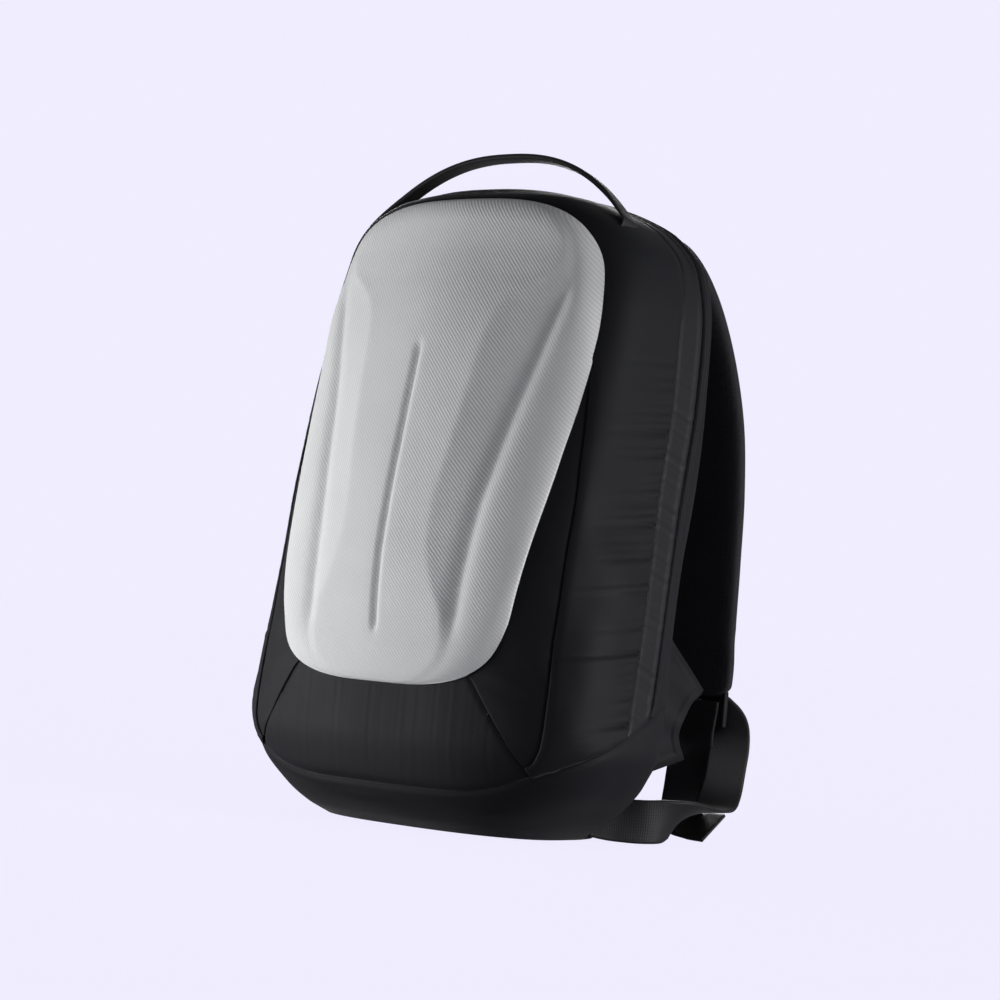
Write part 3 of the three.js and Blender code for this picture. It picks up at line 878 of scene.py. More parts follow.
@dataclass(frozen=True)
class PlasticFinish:
    """Black moulded buckle plastic."""

    slot: str = "black_acetal"
    color: tuple[float, float, float] = (0.008, 0.008, 0.0095)

    def material(self) -> bpy.types.Material:
        """Build the material.

        Returns:
            The material.
        """
        n = Nodes("black_acetal_moulded")
        grain = n.noise(n.object_place(), 900.0, 2.0)
        rub = n.noise(n.object_place(), 40.0)
        color = n.tint(rub, shade(self.color, 0.8), shade(self.color, 1.3))
        rough = n.add("ShaderNodeMapRange", {"Value": rub, "To Min": 0.58, "To Max": 0.7}).outputs[0]
        return n.surface(Base_Color=color, Roughness=rough, Normal=n.bump(grain, 0.00006, 0.5),
                         Specular_IOR_Level=0.2)


@dataclass
class Wardrobe:
    """The finishes, each made once."""

    twill: TwillFinish = field(default_factory=TwillFinish)
    nylon: NylonFinish = field(default_factory=NylonFinish)
    tape: NylonFinish = field(default_factory=lambda: NylonFinish(
        slot="black_zip_tape", color=(0.0112, 0.0114, 0.0142), roughness=0.5, pitch=0.9))
    webbing: WebbingFinish = field(default_factory=WebbingFinish)
    mesh: AirMeshFinish = field(default_factory=AirMeshFinish)
    plastic: PlasticFinish = field(default_factory=PlasticFinish)
    made: dict[str, bpy.types.Material] = field(default_factory=dict)
    worn: list[bpy.types.Object] = field(default_factory=list)

    def dress(self, obj: bpy.types.Object, finish: object, *nodes: str) -> bpy.types.Object:
        """Give a piece its finish and its place in the frame.

        Args:
            obj: The piece.
            finish: One of the finishes.
            nodes: Frame nodes that the piece stands for.

        Returns:
            The piece.
        """
        if finish.slot not in self.made:
            self.made[finish.slot] = finish.material()
        obj.data.materials.clear()
        obj.data.materials.append(self.made[finish.slot])
        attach(obj, BODY)
        if nodes:
            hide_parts(*nodes)
        self.worn.append(obj)
        LOG.info("%s: %d faces", obj.name, len(obj.data.polygons))
        return obj


@dataclass
class FrontShell:
    """The grey moulded shell."""

    form: ShellForm
    wardrobe: Wardrobe
    columns: int = 150
    rows: int = 220
    wall: float = 3.2
    tip: float = 0.05
    row_pull: float = 0.75
    column_pull: float = 0.6

    def place(self, u: Array, v: Array) -> Array:
        """Lay the grid over the shell's outline, closer at its rims.

        Args:
            u: Share across.
            v: Share up.

        Returns:
            The points.
        """
        form = self.form
        rise = 0.5 - 0.5 * np.cos(np.pi * v)
        z = form.bottom + self.tip + (form.top - form.bottom - 2 * self.tip) * mix(v, rise, self.row_pull)
        share = np.sin((u - 0.5) * np.pi * 0.999)
        x = mix(2 * u - 1, share, self.column_pull) * form.half(z)
        return stack(x, form.face_y(x, z), z)

    def build(self) -> None:
        """Make the shell."""
        obj = lay_grid("shell_face", self.columns, self.rows, self.place)
        thicken(obj, self.wall)
        self.wardrobe.dress(obj, self.wardrobe.twill, "front_shell")


@dataclass
class ArchStrip:
    """A strip of cloth up one side, over the top and down the other side."""

    body: BodyForm
    seams: SeamLines
    front: str
    back: str
    front_shift: float
    back_shift: float
    centre_y: float
    turn_z: float = SeamLines.turn_z
    side_share: float = 0.36
    over_reach: float = 180.0
    foot_guess: float = 70.0
    foot_steps: int = 30

    def _edge_at(self, name: str, shift: float, z: Array) -> tuple[Array, Array]:
        """Follow a boundary up the right side.

        Args:
            name: The boundary.
            shift: How far it is moved back, in millimetres.
            z: Levels.

        Returns:
            Half width and Y at each level.
        """
        if name == "shell":
            x, y = self.seams.front_edge(z)
            return x, y + shift
        y = self.seams.round.at(name, z) + shift
        return self.body.side_x(y, z), y

    def _edge_over(self, name: str, shift: float, turn: Array) -> tuple[Array, Array]:
        """Follow a boundary over the top.

        Args:
            name: The boundary.
            shift: How far it is moved back, in millimetres.
            turn: Angles about the turning line.

        Returns:
            Reach from the turning line and Y at each angle.
        """
        near, far = np.zeros_like(turn), np.full_like(turn, self.over_reach)
        c, s = np.abs(np.cos(turn)), np.sin(turn)
        for _ in range(self.body.cast_steps):
            r = (near + far) / 2
            x, z = r * c, self.turn_z + r * s
            if name == "shell":
                inside = (z < self.seams.shell.top - self.seams.lap) & (x < self.seams.under_shell(z))
            else:
                y = self.seams.round.at(name, z) + shift
                inside = self.body.excess(stack(x, y, z)) < 0
            near, far = np.where(inside, r, near), np.where(inside, far, r)
        x, z = near * c, self.turn_z + near * s
        y = self.body.front_y(x, z) if name == "shell" else self.seams.round.at(name, z) + shift
        return near, y

    def foot(self, v: Array) -> Array:
        """Find the boot's seam across the strip.

        Args:
            v: Shares of the way from the front edge to the back edge.

        Returns:
            The seam's level at each share.
        """
        z = np.full_like(v, self.foot_guess)
        for _ in range(self.foot_steps):
            _, yf = self._edge_at(self.front, self.front_shift, z)
            _, yb = self._edge_at(self.back, self.back_shift, z)
            z = mix(z, self.seams.boot.at("z", mix(yf, yb, v)) + self.seams.gap, 0.6)
        return z

    def place(self, u: Array, v: Array) -> Array:
        """Lay the grid from the right foot over the top to the left foot.

        Args:
            u: Share of the way along the strip.
            v: Share of the way across it.

        Returns:
            The points.
        """
        side_share = self.side_share
        on_top = np.abs(u - 0.5) < 0.5 - side_share
        sign = np.where(u < 0.5, 1.0, -1.0)
        along = np.minimum(u, 1 - u) / side_share
        low = self.foot(v)
        z = np.where(on_top, self.turn_z, low + (self.turn_z - low) * np.minimum(along, 1.0))
        turn = np.clip((u - side_share) / (1 - 2 * side_share), 0, 1) * np.pi
        xf, yf = self._edge_at(self.front, self.front_shift, z)
        xb, yb = self._edge_at(self.back, self.back_shift, z)
        rf, tf = self._edge_over(self.front, self.front_shift, turn)
        rb, tb = self._edge_over(self.back, self.back_shift, turn)
        start = np.where(on_top, np.arctan2(tf - self.centre_y, rf), np.arctan2(yf - self.centre_y, xf))
        end = np.where(on_top, np.arctan2(tb - self.centre_y, rb), np.arctan2(yb - self.centre_y, xb))
        angle = mix(start, end, v)
        out = np.cos(angle)
        dx = np.where(on_top, np.cos(turn) * out, sign * out)
        dz = np.where(on_top, np.sin(turn) * out, 0.0)
        return self.body.cast(stack(0.0, self.centre_y, z), stack(dx, np.sin(angle), dz))


@dataclass
class ClothBody:
    """The sewn black panels of the body, with folds that each have a height and a pitch in millimetres."""

    body: BodyForm
    shell: ShellForm
    seams: SeamLines
    wardrobe: Wardrobe
    wall: float = 2.0
    apron_crease: tuple[float, float] = (0.1, 6.0)
    apron_bulge: tuple[float, float] = (0.2, 70.0)
    wedge_drag: tuple[float, float] = (0.55, 34.0)
    side_pucker: tuple[float, float] = (1.15, 9.5)
    side_fold: tuple[float, float] = (1.1, 64.0)
    side_sag: tuple[float, float] = (2.2, 168.0)
    tape_pucker: tuple[float, float] = (0.2, 7.0)
    pucker_top: float = 345.0
    boot_dent: float = 0.8
    boot_floor_share: float = 0.22
    boot_centre_y: float = -25.0

    def build(self) -> None:
        """Make all the panels."""
        self.apron()
        for side in Side:
            self.wedge(side)
        self.gusset()
        self.zip_tape()
        self.back_band()
        self.boot()

    def _lay(self, name: str, size: tuple[int, int], place: Placer, swell: Swell,
             flip: bool = False) -> bpy.types.Object:
        """Lay one panel on the body, with a size in faces across and up."""
        return lay_grid(name, *size, place, swell, flip=flip, normals=self.body.normal)

    def _panel(self, obj: bpy.types.Object, finish: object, node: str) -> None:
        """Thicken a panel and dress it."""
        thicken(obj, self.wall)
        self.wardrobe.dress(obj, finish, node)

    def apron_place(self, u: Array, v: Array) -> Array:
        """Lay the apron between its slanted seams, the boot's seam and the shell.

        Args:
            u: Share across.
            v: Share up.

        Returns:
            The points.
        """
        share = 2 * u - 1
        z = mix(30.0, self.seams.apron_top, v)
        for _ in range(40):
            x = share * self.seams.apron_x(z)
            low = self.seams.boot.at("z", self.body.front_y(x, z)) + self.seams.gap
            high = self.shell.lower(x) + self.seams.lap
            z = mix(z, mix(low, high, v), 0.5)
        x = share * self.seams.apron_x(z)
        return stack(x, self.body.front_y(x, z), z)

    def apron(self) -> None:
        """Make the panel below the shell, with its fine upright creases."""

        def swell(s: Spread) -> Array:
            """Seams, creases and a soft fullness.

            Args:
                s: The laid-out grid.

            Returns:
                Heights.
            """
            x = s.points[..., 0]
            (crease_depth, crease_pitch), (bulge, bulge_pitch) = self.apron_crease, self.apron_bulge
            crease = crease_depth * wander(x, crease_pitch, 3) * smooth(s.low / 12) * smooth(s.high / 14)
            full = bulge * wander(x + 0.4 * s.low, bulge_pitch, 4)
            return pillow(s, "left right low", 1.1, 6) + crease + full

        obj = self._lay("apron_cloth", (120, 50), self.apron_place, swell)
        self._panel(obj, self.wardrobe.nylon, "front_apron")

    def wedge(self, side: Side) -> None:
        """Make the wedge between the shell and the side seam.

        Args:
            side: Which side.
        """
        seams = self.seams

        def place(u: Array, v: Array) -> Array:
            """Lay the wedge from the shell's edge to the side seam.

            Args:
                u: Share across.
                v: Share up.

            Returns:
                The points.
            """
            z = mix(seams.wedge_foot + 0.6, seams.turn_z, v)
            t = smooth((z - 102) / 16)
            inner = mix(seams.apron_x(z) + seams.gap, seams.under_shell(z), t)
            outer, _ = seams.front_edge(z)
            x = mix(inner, np.maximum(outer - seams.gap, inner + 0.05), u)
            return stack(x * side.value, self.body.front_y(x, z), z)

        def swell(s: Spread) -> Array:
            """Seams and slanted drag lines.

            Args:
                s: The laid-out grid.

            Returns:
                Heights.
            """
            z = s.points[..., 2]
            depth, pitch = self.wedge_drag
            drag = depth * wander(z + 0.55 * s.left, pitch, 11) * smooth(s.right / 12) * smooth(s.low / 20)
            return pillow(s, "right", 0.8, 5) + drag * smooth((250 - z) / 90)

        obj = self._lay(f"wedge_cloth_{side.word}", (30, 150), place, swell, side is Side.LEFT)
        self._panel(obj, self.wardrobe.nylon, f"front_wedge_{side.word}")

    def gusset(self) -> None:
        """Make the side and top panel, puckered along the zip's seam."""
        strip = ArchStrip(self.body, self.seams, "shell", "tape", self.seams.gap, 0.0, -22.0)

        def swell(s: Spread) -> Array:
            """Seams, puckers by the zip tape and long soft folds.

            Args:
                s: The laid-out grid.

            Returns:
                Heights.
            """
            y, z = s.points[..., 1], s.points[..., 2]
            depth, pitch = self.side_pucker
            reach = np.maximum(30.0 + 17.0 * wander(z, 41.0, 20), 12.0)
            tight = np.exp(-s.high / reach) * smooth(s.high / 2.5) * smooth((self.pucker_top - z) / 40)
            pucker = depth * wander(z + 0.1 * s.high, pitch, 21) * tight
            depth, pitch = self.side_fold
            fold = depth * wander(z + 0.35 * s.low, pitch, 22) * smooth(s.high / 30) * smooth(s.low / 20)
            depth, pitch = self.side_sag
            sag = depth * np.sin(2 * np.pi * (z - 0.9 * y) / pitch + 0.6)
            sag = sag * smooth(s.high / 40) * smooth(s.low / 30) * smooth((330 - z) / 150)
            fold = fold * smooth((310 - z) / 120) + sag
            side = pillow(s, "low", 1.1, 6) * smooth((325 - z) / 10)
            seams = np.min([pillow(s, "high", 1.3, 6), side, pillow(s, "left right", 1.1, 6)], axis=0)
            return seams + pucker + fold

        obj = self._lay("gusset_cloth", (460, 46), strip.place, swell)
        self._panel(obj, self.wardrobe.nylon, "body_gusset")

    def zip_tape(self) -> None:
        """Make the strip in front of the zip line."""
        strip = ArchStrip(self.body, self.seams, "tape", "zip", self.seams.gap, self.seams.tuck, -8.0)
        tuck = self.seams.tuck

        def swell(s: Spread) -> Array:
            """A flat strip with a rolled lip along the zip, and an edge that runs under the strip behind.

            Args:
                s: The laid-out grid.

            Returns:
                Heights.
            """
            z = s.points[..., 2]
            depth, pitch = self.tape_pucker
            pucker = depth * wander(z + 0.25 * s.low, pitch, 31) * smooth((self.pucker_top - z) / 40)
            lip = 0.9 * np.exp(-((s.high - tuck - 3.0) / 2.4) ** 2)
            under = -6.5 * smooth((tuck + 0.9 - s.high) / 1.8)
            ends = smooth(np.minimum(s.left, s.right) / 9)
            return pillow(s, "low left right", 1.2, 4) + under + (pucker + lip) * ends - 0.2

        obj = self._lay("zip_tape_cloth", (420, 30), strip.place, swell)
        self._panel(obj, self.wardrobe.tape, "zip_tape")

    def back_band(self) -> None:
        """Make the strip behind the zip line."""
        strip = ArchStrip(self.body, self.seams, "zip", "panel", self.seams.zip_gap, 0.0, 12.0)

        def swell(s: Spread) -> Array:
            """A rolled lip along the zip, and the back panel's seam.

            Args:
                s: The laid-out grid.

            Returns:
                Heights.
            """
            lip = 1.0 * np.exp(-((s.low - 3.0) / 2.6) ** 2)
            ends = smooth(np.minimum(s.left, s.right) / 9)
            return pillow(s, "high left right", 1.2, 5) + pillow(s, "low", 2.0, 2) + lip * ends

        obj = self._lay("back_band_cloth", (420, 30), strip.place, swell)
        self._panel(obj, self.wardrobe.nylon, "back_band")

    def boot_place(self, u: Array, v: Array) -> Array:
        """Lay the base from its middle out under the pack and up to the boot's seam.

        Args:
            u: Share of the way round.
            v: Share of the way out and up.

        Returns:
            The points.
        """
        turn = 2 * np.pi * u
        centre_y, floor_share = self.boot_centre_y, self.boot_floor_share
        out = stack(np.cos(turn), np.sin(turn), 0.0)
        top = np.full_like(u, 60.0)
        for _ in range(24):
            hit = self.body.cast(stack(0.0, centre_y, top), out)
            top = mix(top, self.seams.boot.at("z", hit[:, 1]), 0.7)
        rise = clamp((v - floor_share) / (1 - floor_share))
        z = top * rise**1.15
        wall = self.body.cast(stack(0.0, centre_y, z), out)
        spread = np.minimum(v / floor_share, 1.0)[:, None]
        middle = stack(np.zeros_like(u), centre_y, 0.0)
        return np.where(v[:, None] < floor_share, mix(middle, wall, spread), wall)

    def boot(self) -> None:
        """Make the base that wraps up the sides."""

        def swell(s: Spread) -> Array:
            """The seam and a few soft dents.

            Args:
                s: The laid-out grid.

            Returns:
                Heights.
            """
            lift = smooth(s.points[..., 2] / 22.0) * smooth(s.high / 16)
            dent = self.boot_dent * np.sin(s.u * 2 * np.pi * 5 + 1.0) * np.sin(s.v * 7.0) * lift
            return pillow(s, "high", 1.1, 6) + dent

        obj = self._lay("boot_cloth", (260, 56), self.boot_place, swell)
        close_ring(obj, cap=False)
        self._panel(obj, self.wardrobe.nylon, "base_boot")


@dataclass
class BackPanel:
    """The padded panel against the wearer's back."""

    body: BodyForm
    seams: SeamLines
    wardrobe: Wardrobe
    foot: float = 97.4
    middle: tuple[float, float] = (0.0, 255.0)
    wall: float = 9.0
    rim_reach: float = 320.0
    rim_dip: float = 2.2
    rim_from: float = 0.9
    fullness: float = 1.2

    def rim(self, turn: Array) -> tuple[Array, Array]:
        """Follow the panel's outline.

        Args:
            turn: Angles about the panel's middle.

        Returns:
            X and Z at each angle.
        """
        cx, cz = self.middle
        near, far = np.zeros_like(turn), np.full_like(turn, self.rim_reach)
        for _ in range(self.body.cast_steps):
            r = (near + far) / 2
            x, z = cx + r * np.cos(turn), cz + r * np.sin(turn)
            y = self.seams.round.at("panel", z) + self.seams.gap
            inside = (self.body.excess(stack(x, y, z)) < 0) & (z > self.foot)
            near, far = np.where(inside, r, near), np.where(inside, far, r)
        return cx + near * np.cos(turn), cz + near * np.sin(turn)

    def place(self, u: Array, v: Array) -> Array:
        """Lay a square grid over the outline, ring by ring.

        Args:
            u: Share across.
            v: Share up.

        Returns:
            The points.
        """
        a, b = 2 * u - 1, 2 * v - 1
        ring = np.maximum(np.maximum(np.abs(a), np.abs(b)), 1e-6)
        x, z = self.rim(np.arctan2(b * 1.25, a))
        x, z = mix(self.middle[0], x, ring), mix(self.middle[1], z, ring)
        return stack(x, self.body.back_y(x, z), z)

    def build(self) -> None:
        """Make the panel."""

        def swell(s: Spread) -> Array:
            """Full in its middle and drawn in at its seam.

            Args:
                s: The laid-out grid.

            Returns:
                Heights.
            """
            ring = np.maximum(np.abs(2 * s.u - 1), np.abs(2 * s.v - 1))
            dip = self.rim_dip * smooth((ring - self.rim_from) / (1 - self.rim_from))
            return self.fullness * (1 - ring**2) - dip

        obj = lay_grid("back_pad", 110, 130, self.place, swell, flip=True, normals=self.body.normal)
        thicken(obj, self.wall)
        self.wardrobe.dress(obj, self.wardrobe.mesh, "back_panel")


class Route:
    """A smooth line through table rows, with a width direction at each step."""

    def __init__(self, names: str, rows: Sequence[Sequence[float]]) -> None:
        """Keep the rows, with their number as the key.

        Args:
            names: Names of the columns; x, y and z come first.
            rows: One row for each point.
        """
        keyed = [(i, *row) for i, row in enumerate(rows)]
        self.table = Table("i " + names, keyed)
        self.spots = np.array([row[:3] for row in rows], float)
        self.last = len(rows) - 1

    def point(self, t: Array) -> Array:
        """Follow a centripetal curve through the rows.

        Args:
            t: Shares of the way.

        Returns:
            The points.
        """
        ends = 2 * self.spots[[0, -1]] - self.spots[[1, -2]]
        p = np.vstack([ends[:1], self.spots, ends[1:]])
        at = clamp(t) * self.last
        i = np.minimum(at.astype(int), self.last - 1)
        w = (at - i)[:, None]
        p0, p1, p2, p3 = (p[i + k] for k in range(4))
        d = [np.sqrt(np.linalg.norm(b - a, axis=1))[:, None] for a, b in ((p0, p1), (p1, p2), (p2, p3))]
        t1 = ((p1 - p0) / d[0] - (p2 - p0) / (d[0] + d[1]) + (p2 - p1) / d[1]) * d[1]
        t2 = ((p2 - p1) / d[1] - (p3 - p1) / (d[1] + d[2]) + (p3 - p2) / d[2]) * d[1]
        return (
            (2 * w**3 - 3 * w**2 + 1) * p1 + (w**3 - 2 * w**2 + w) * t1
            + (3 * w**2 - 2 * w**3) * p2 + (w**3 - w**2) * t2
        )

    def read(self, name: str, t: Array) -> Array:
        """A column at shares t of the way."""
        return self.table.at(name, clamp(t) * self.last)

    def axes(self, t: Array) -> tuple[Array, Array]:
        """Find the directions across the line.

        Args:
            t: Shares of the way.

        Returns:
            Width and thickness directions.
        """
        step = 1e-3
        tangent = self.point(clamp(t + step)) - self.point(clamp(t - step))
        tangent /= np.linalg.norm(tangent, axis=1, keepdims=True)
        if "wx" in self.table.columns:
            wide = stack(self.read("wx", t), self.read("wy", t), self.read("wz", t))
        else:
            wide = np.tile([1.0, 0.0, 0.0], (len(t), 1))
        wide = wide - np.sum(wide * tangent, axis=1, keepdims=True) * tangent
        wide /= np.linalg.norm(wide, axis=1, keepdims=True)
        return wide, np.cross(tangent, wide)


def around(u: Array, width: Array, thick: Array, power: float) -> tuple[Array, Array]:
    """A rounded section.

    Args:
        u: Share of the way round.
        width: Full width.
        thick: Full thickness.
        power: How square the section is.

    Returns:
        Distances along the width and the thickness.
    """
    c, s = np.cos(2 * np.pi * u), np.sin(2 * np.pi * u)
    return (
        width / 2 * np.sign(c) * np.abs(c) ** (2 / power),
        thick / 2 * np.sign(s) * np.abs(s) ** (2 / power),
    )


@dataclass
class CarryHandle:
    """The webbing handle over the top, folded in its middle."""

    wardrobe: Wardrobe
    span: float = 112.0
    rise: float = 51.4
    power: float = 2.45
    lean: float = 9.2
    root_y: float = -29.2
    root_z: float = 420.0
    width: float = 17.0
    thick: float = 2.4
    fold_width: float = 12.0
    fold_thick: float = 4.0
    fold_from: float = 0.75
    fold_over: float = 0.22
    section_power: float = 4.0
    arch_share: float = 0.94
    sink: float = 15.0
    tuck: float = 6.0

    def place(self, u: Array, v: Array) -> Array:
        """Lay a closed section along the arch and a little way into the cloth.

        Args:
            u: Share of the way round the section.
            v: Share of the way along the arch.

        Returns:
            The points.
        """
        lean = math.radians(self.lean)
        way = (2 * v - 1) / self.arch_share
        share = np.clip(way, -1, 1)
        past = np.abs(way - share) * self.arch_share / (1 - self.arch_share)
        rise = self.rise * (1 - np.abs(share) ** self.power) - past * self.sink
        fall = np.sign(share) * self.power * self.rise * np.abs(share) ** (self.power - 1) / self.span
        spread = smooth((np.abs(share) - self.fold_from) / self.fold_over)
        width, thick = mix(self.fold_width, self.width, spread), mix(self.fold_thick, self.thick, spread)
        wide, deep = around(u, width, thick, self.section_power)
        length = np.sqrt(1 + fall**2)
        nx, nup = fall / length, 1 / length
        up_y, up_z = math.sin(lean), math.cos(lean)
        x = self.span * share - past * np.sign(share) * self.tuck + nx * deep
        y = self.root_y + (rise + nup * deep) * up_y + wide * math.cos(lean)
        z = self.root_z + (rise + nup * deep) * up_z - wide * math.sin(lean)
        return stack(x, y, z)

    def build(self) -> None:
        """Make the handle."""
        obj = lay_grid("handle_web", 28, 150, self.place)
        close_ring(obj)
        self.wardrobe.dress(obj, self.wardrobe.webbing, "carry_handle")


@dataclass
class Harness:
    """One side's shoulder strap, buckle, webbing and wing."""

    side: Side
    wardrobe: Wardrobe
    strap_spare: float = 3.0
    strap_power: float = 3.4
    # Shares taken off the thickness at the upper and the lower tip, and the share of the way that it takes
    strap_tips: tuple[float, float, float] = (0.45, 0.3, 0.012)
    web_width: float = 30.0
    web_thick: float = 2.0
    strap: Route = field(default_factory=lambda: Route("x y z width thick", [
        (57, 50, 421, 66, 9), (59, 68, 421, 66, 11), (61, 88, 411, 66, 13), (64, 110, 388, 66, 14),
        (68, 129, 352, 66, 14), (73, 143, 303, 65, 14), (79, 144, 250, 63, 14), (85, 139, 198, 60, 13),
        (92, 134, 148, 54, 12), (97.5, 132.3, 126, 47, 10.5), (98.5, 132, 110, 44, 10),
        (99, 132.3, 104, 33, 7),
    ]))
    anchor: Route = field(default_factory=lambda: Route("x y z wx wy wz", [
        (96, 4, 17, 0.1, 0.75, 0.6), (108, 20, 15.4, 0.05, 0.5, 0.85), (124, 38, 15.6, -0.05, 0.1, 1),
        (129, 60, 17.5, 0.4, 0, 0.9), (127, 84, 21, 0.85, 0.1, 0.5), (125, 106, 23.5, 1, 0.1, 0.05),
        (121, 126, 27, 0.95, 0.35, -0.05), (119, 136, 38, 0.72, 0.7, 0), (119, 139.5, 54, 0.66, 0.75, 0.15),
        (118.5, 142, 70, 0.72, 0.66, 0.2), (115, 144, 83, 0.88, 0.35, 0.3),
        (107, 141.5, 93, 0.95, 0.05, 0.35), (101.5, 138, 99, 0.95, 0, 0.3), (100, 136.6, 105, 1, 0, 0.05),
    ]))
    tail: Route = field(default_factory=lambda: Route("x y z wx wy wz", [
        (100, 128.6, 101, 1, 0, 0), (99.5, 128.6, 92, 1, 0, 0), (98, 128.3, 80, 1, 0, 0),
        (93, 130.5, 57, 0.85, 0.5, 0.05), (89, 134, 38, 0.85, 0.5, 0.05),
        (88, 134, 20, 0.85, 0.5, -0.1), (93, 131.5, 10.8, 0.55, 0.75, 0.3),
        (106, 130, 10.4, 0.2, 0.78, 0.6), (120, 128, 10.4, 0.1, 0.78, 0.62),
    ]))
    lock_centre: tuple[float, float, float] = (99.5, 132.5, 95.4)
    lock_size: tuple[float, float, float] = (40.0, 5.0, 26.0)
    lock_bar: float = 5.0
    # X, Y and the two levels of the root, then X, upper Y and level, lower Y and level of the tip
    wing_root: tuple[float, float, float, float] = (112.0, 26.0, 44.0, 170.0)
    wing_tip: tuple[float, float, float, float, float] = (118.0, 99.0, 108.0, 80.0, 60.0)
    wing_thick: float = 2.4
    # Height and width of the hem, then height and pitch of the folds
    wing_hem: tuple[float, float] = (0.9, 6.0)
    wing_fold: tuple[float, float] = (1.2, 40.0)
    wing_bow: float = 5.0
    wing_bight: float = 22.0
    wing_flat: tuple[float, float] = (0.078, 0.126)
    wing_area: float = 0.0055

    def build(self) -> None:
        """Make the side's pieces."""
        self.pad()
        self.webbing(self.anchor, "anchor_web", "anchor_webbing", 150)
        self.webbing(self.tail, "tail_web", "strap_tail", 110)
        self.lock()
        self.wing()

    def _mirrored(self, points: Array) -> Array:
        """Points on this harness's side."""
        return points * np.array([self.side.value, 1.0, 1.0])

    def pad(self) -> None:
        """Make the padded strap."""

        def place(u: Array, v: Array) -> Array:
            """Lay a closed section along the strap, thinner at its two tips.

            Args:
                u: Share of the way round the section.
                v: Share of the way down the strap.

            Returns:
                The points.
            """
            wide, normal = self.strap.axes(v)
            upper, lower, reach = self.strap_tips
            end = 1 - upper * (1 - smooth(v / reach)) - lower * (1 - smooth((1 - v) / reach))
            width, thick = self.strap.read("width", v) + self.strap_spare, self.strap.read("thick", v) * end
            a, b = around(u, width, thick, self.strap_power)
            return self._mirrored(self.strap.point(v) + wide * a[:, None] + normal * b[:, None])

        obj = lay_grid(f"strap_pad_{self.side.word}", 60, 150, place)
        close_ring(obj)
        self.wardrobe.dress(obj, self.wardrobe.mesh, f"shoulder_strap_{self.side.word}")

    def webbing(self, route: Route, name: str, node: str, rows: int) -> None:
        """Make one flat webbing.

        Args:
            route: The line that it follows.
            name: First part of the piece's name.
            node: First part of the node's name.
            rows: Faces along it.
        """

        def place(u: Array, v: Array) -> Array:
            """Lay the web along its route."""
            wide, _ = route.axes(v)
            return self._mirrored(route.point(v) + wide * ((u - 0.5) * self.web_width)[:, None])

        obj = lay_grid(f"{name}_{self.side.word}", 14, rows, place)
        thicken(obj, self.web_thick, 0.0)
        self.wardrobe.dress(obj, self.wardrobe.webbing, f"{node}_{self.side.word}")

    def lock(self) -> None:
        """Make the plastic ladder lock from bevelled bars."""
        (cx, cy, cz), (w, d, h), bar = self.lock_centre, self.lock_size, self.lock_bar
        bars = [((s * (w - bar) / 2, 0, 0), (bar, d, h)) for s in (-1, 1)]
        bars += [((0, 0, s * (h - bar) / 2), (w - bar, d * 0.92, bar)) for s in (-1, 0, 1)]
        bm = bmesh.new()
        for (x, y, z), size in bars:
            new = bmesh.ops.create_cube(bm, size=1.0)["verts"]
            bmesh.ops.scale(bm, vec=Vector(size) * MM, verts=new)
            spot = Vector(((cx + x) * self.side.value, cy + y, cz + z)) * MM
            bmesh.ops.translate(bm, vec=spot, verts=new)
        bmesh.ops.bevel(bm, geom=bm.edges[:], offset=1.1 * MM, offset_type="OFFSET", affect="EDGES",
                        segments=3, profile=0.5, material=-1)
        bmesh.ops.recalc_face_normals(bm, faces=bm.faces[:])
        mesh = bpy.data.meshes.new(f"lock_{self.side.word}")
        bm.to_mesh(mesh)
        bm.free()
        for polygon in mesh.polygons:
            polygon.use_smooth = True
        obj = bpy.data.objects.new(mesh.name, mesh)
        bpy.context.scene.collection.objects.link(obj)
        self.wardrobe.dress(obj, self.wardrobe.plastic, f"ladder_lock_{self.side.word}")

    def wing(self) -> None:
        """Make the cloth flap at the lower rear corner."""
        rx, ry, rl, rh = self.wing_root
        tx, hy, th, ly, tl = self.wing_tip

        def place(u: Array, v: Array) -> Array:
            """Lay the flap from its root to its hollow free edge.

            Args:
                u: Share of the way back.
                v: Share up.

            Returns:
                The points.
            """
            arch = np.sin(np.pi * v)
            x = mix(rx, tx, u) + self.wing_bow * arch
            tip_y = mix(ly, hy, v) - self.wing_bight * arch
            return self._mirrored(stack(x, mix(ry, tip_y, u), mix(mix(rl, rh, v), mix(tl, th, v), u)))

        def swell(s: Spread) -> Array:
            """A hem round the free edges and soft folds.

            Args:
                s: The laid-out grid.

            Returns:
                Heights.
            """
            (rise, width), (depth, pitch) = self.wing_hem, self.wing_fold
            free = np.minimum(np.minimum(s.low, s.high), s.right)
            hem = rise * (1 - smooth((free - width) / 1.5))
            return hem + depth * wander(s.low + 0.3 * s.left, pitch, 71) * smooth(s.left / 20)

        obj = lay_grid(f"wing_flap_{self.side.word}", 50, 60, place, swell, flip=self.side is Side.LEFT)
        thicken(obj, self.wing_thick, 0.0)
        self.wardrobe.dress(obj, self.wardrobe.nylon, f"side_wing_{self.side.word}")


@dataclass(frozen=True)
class Lamp:
    """A square soft light that faces the pack, in metres and watts."""

    name: str
    spot: tuple[float, float, float]
    size: float
    power: float


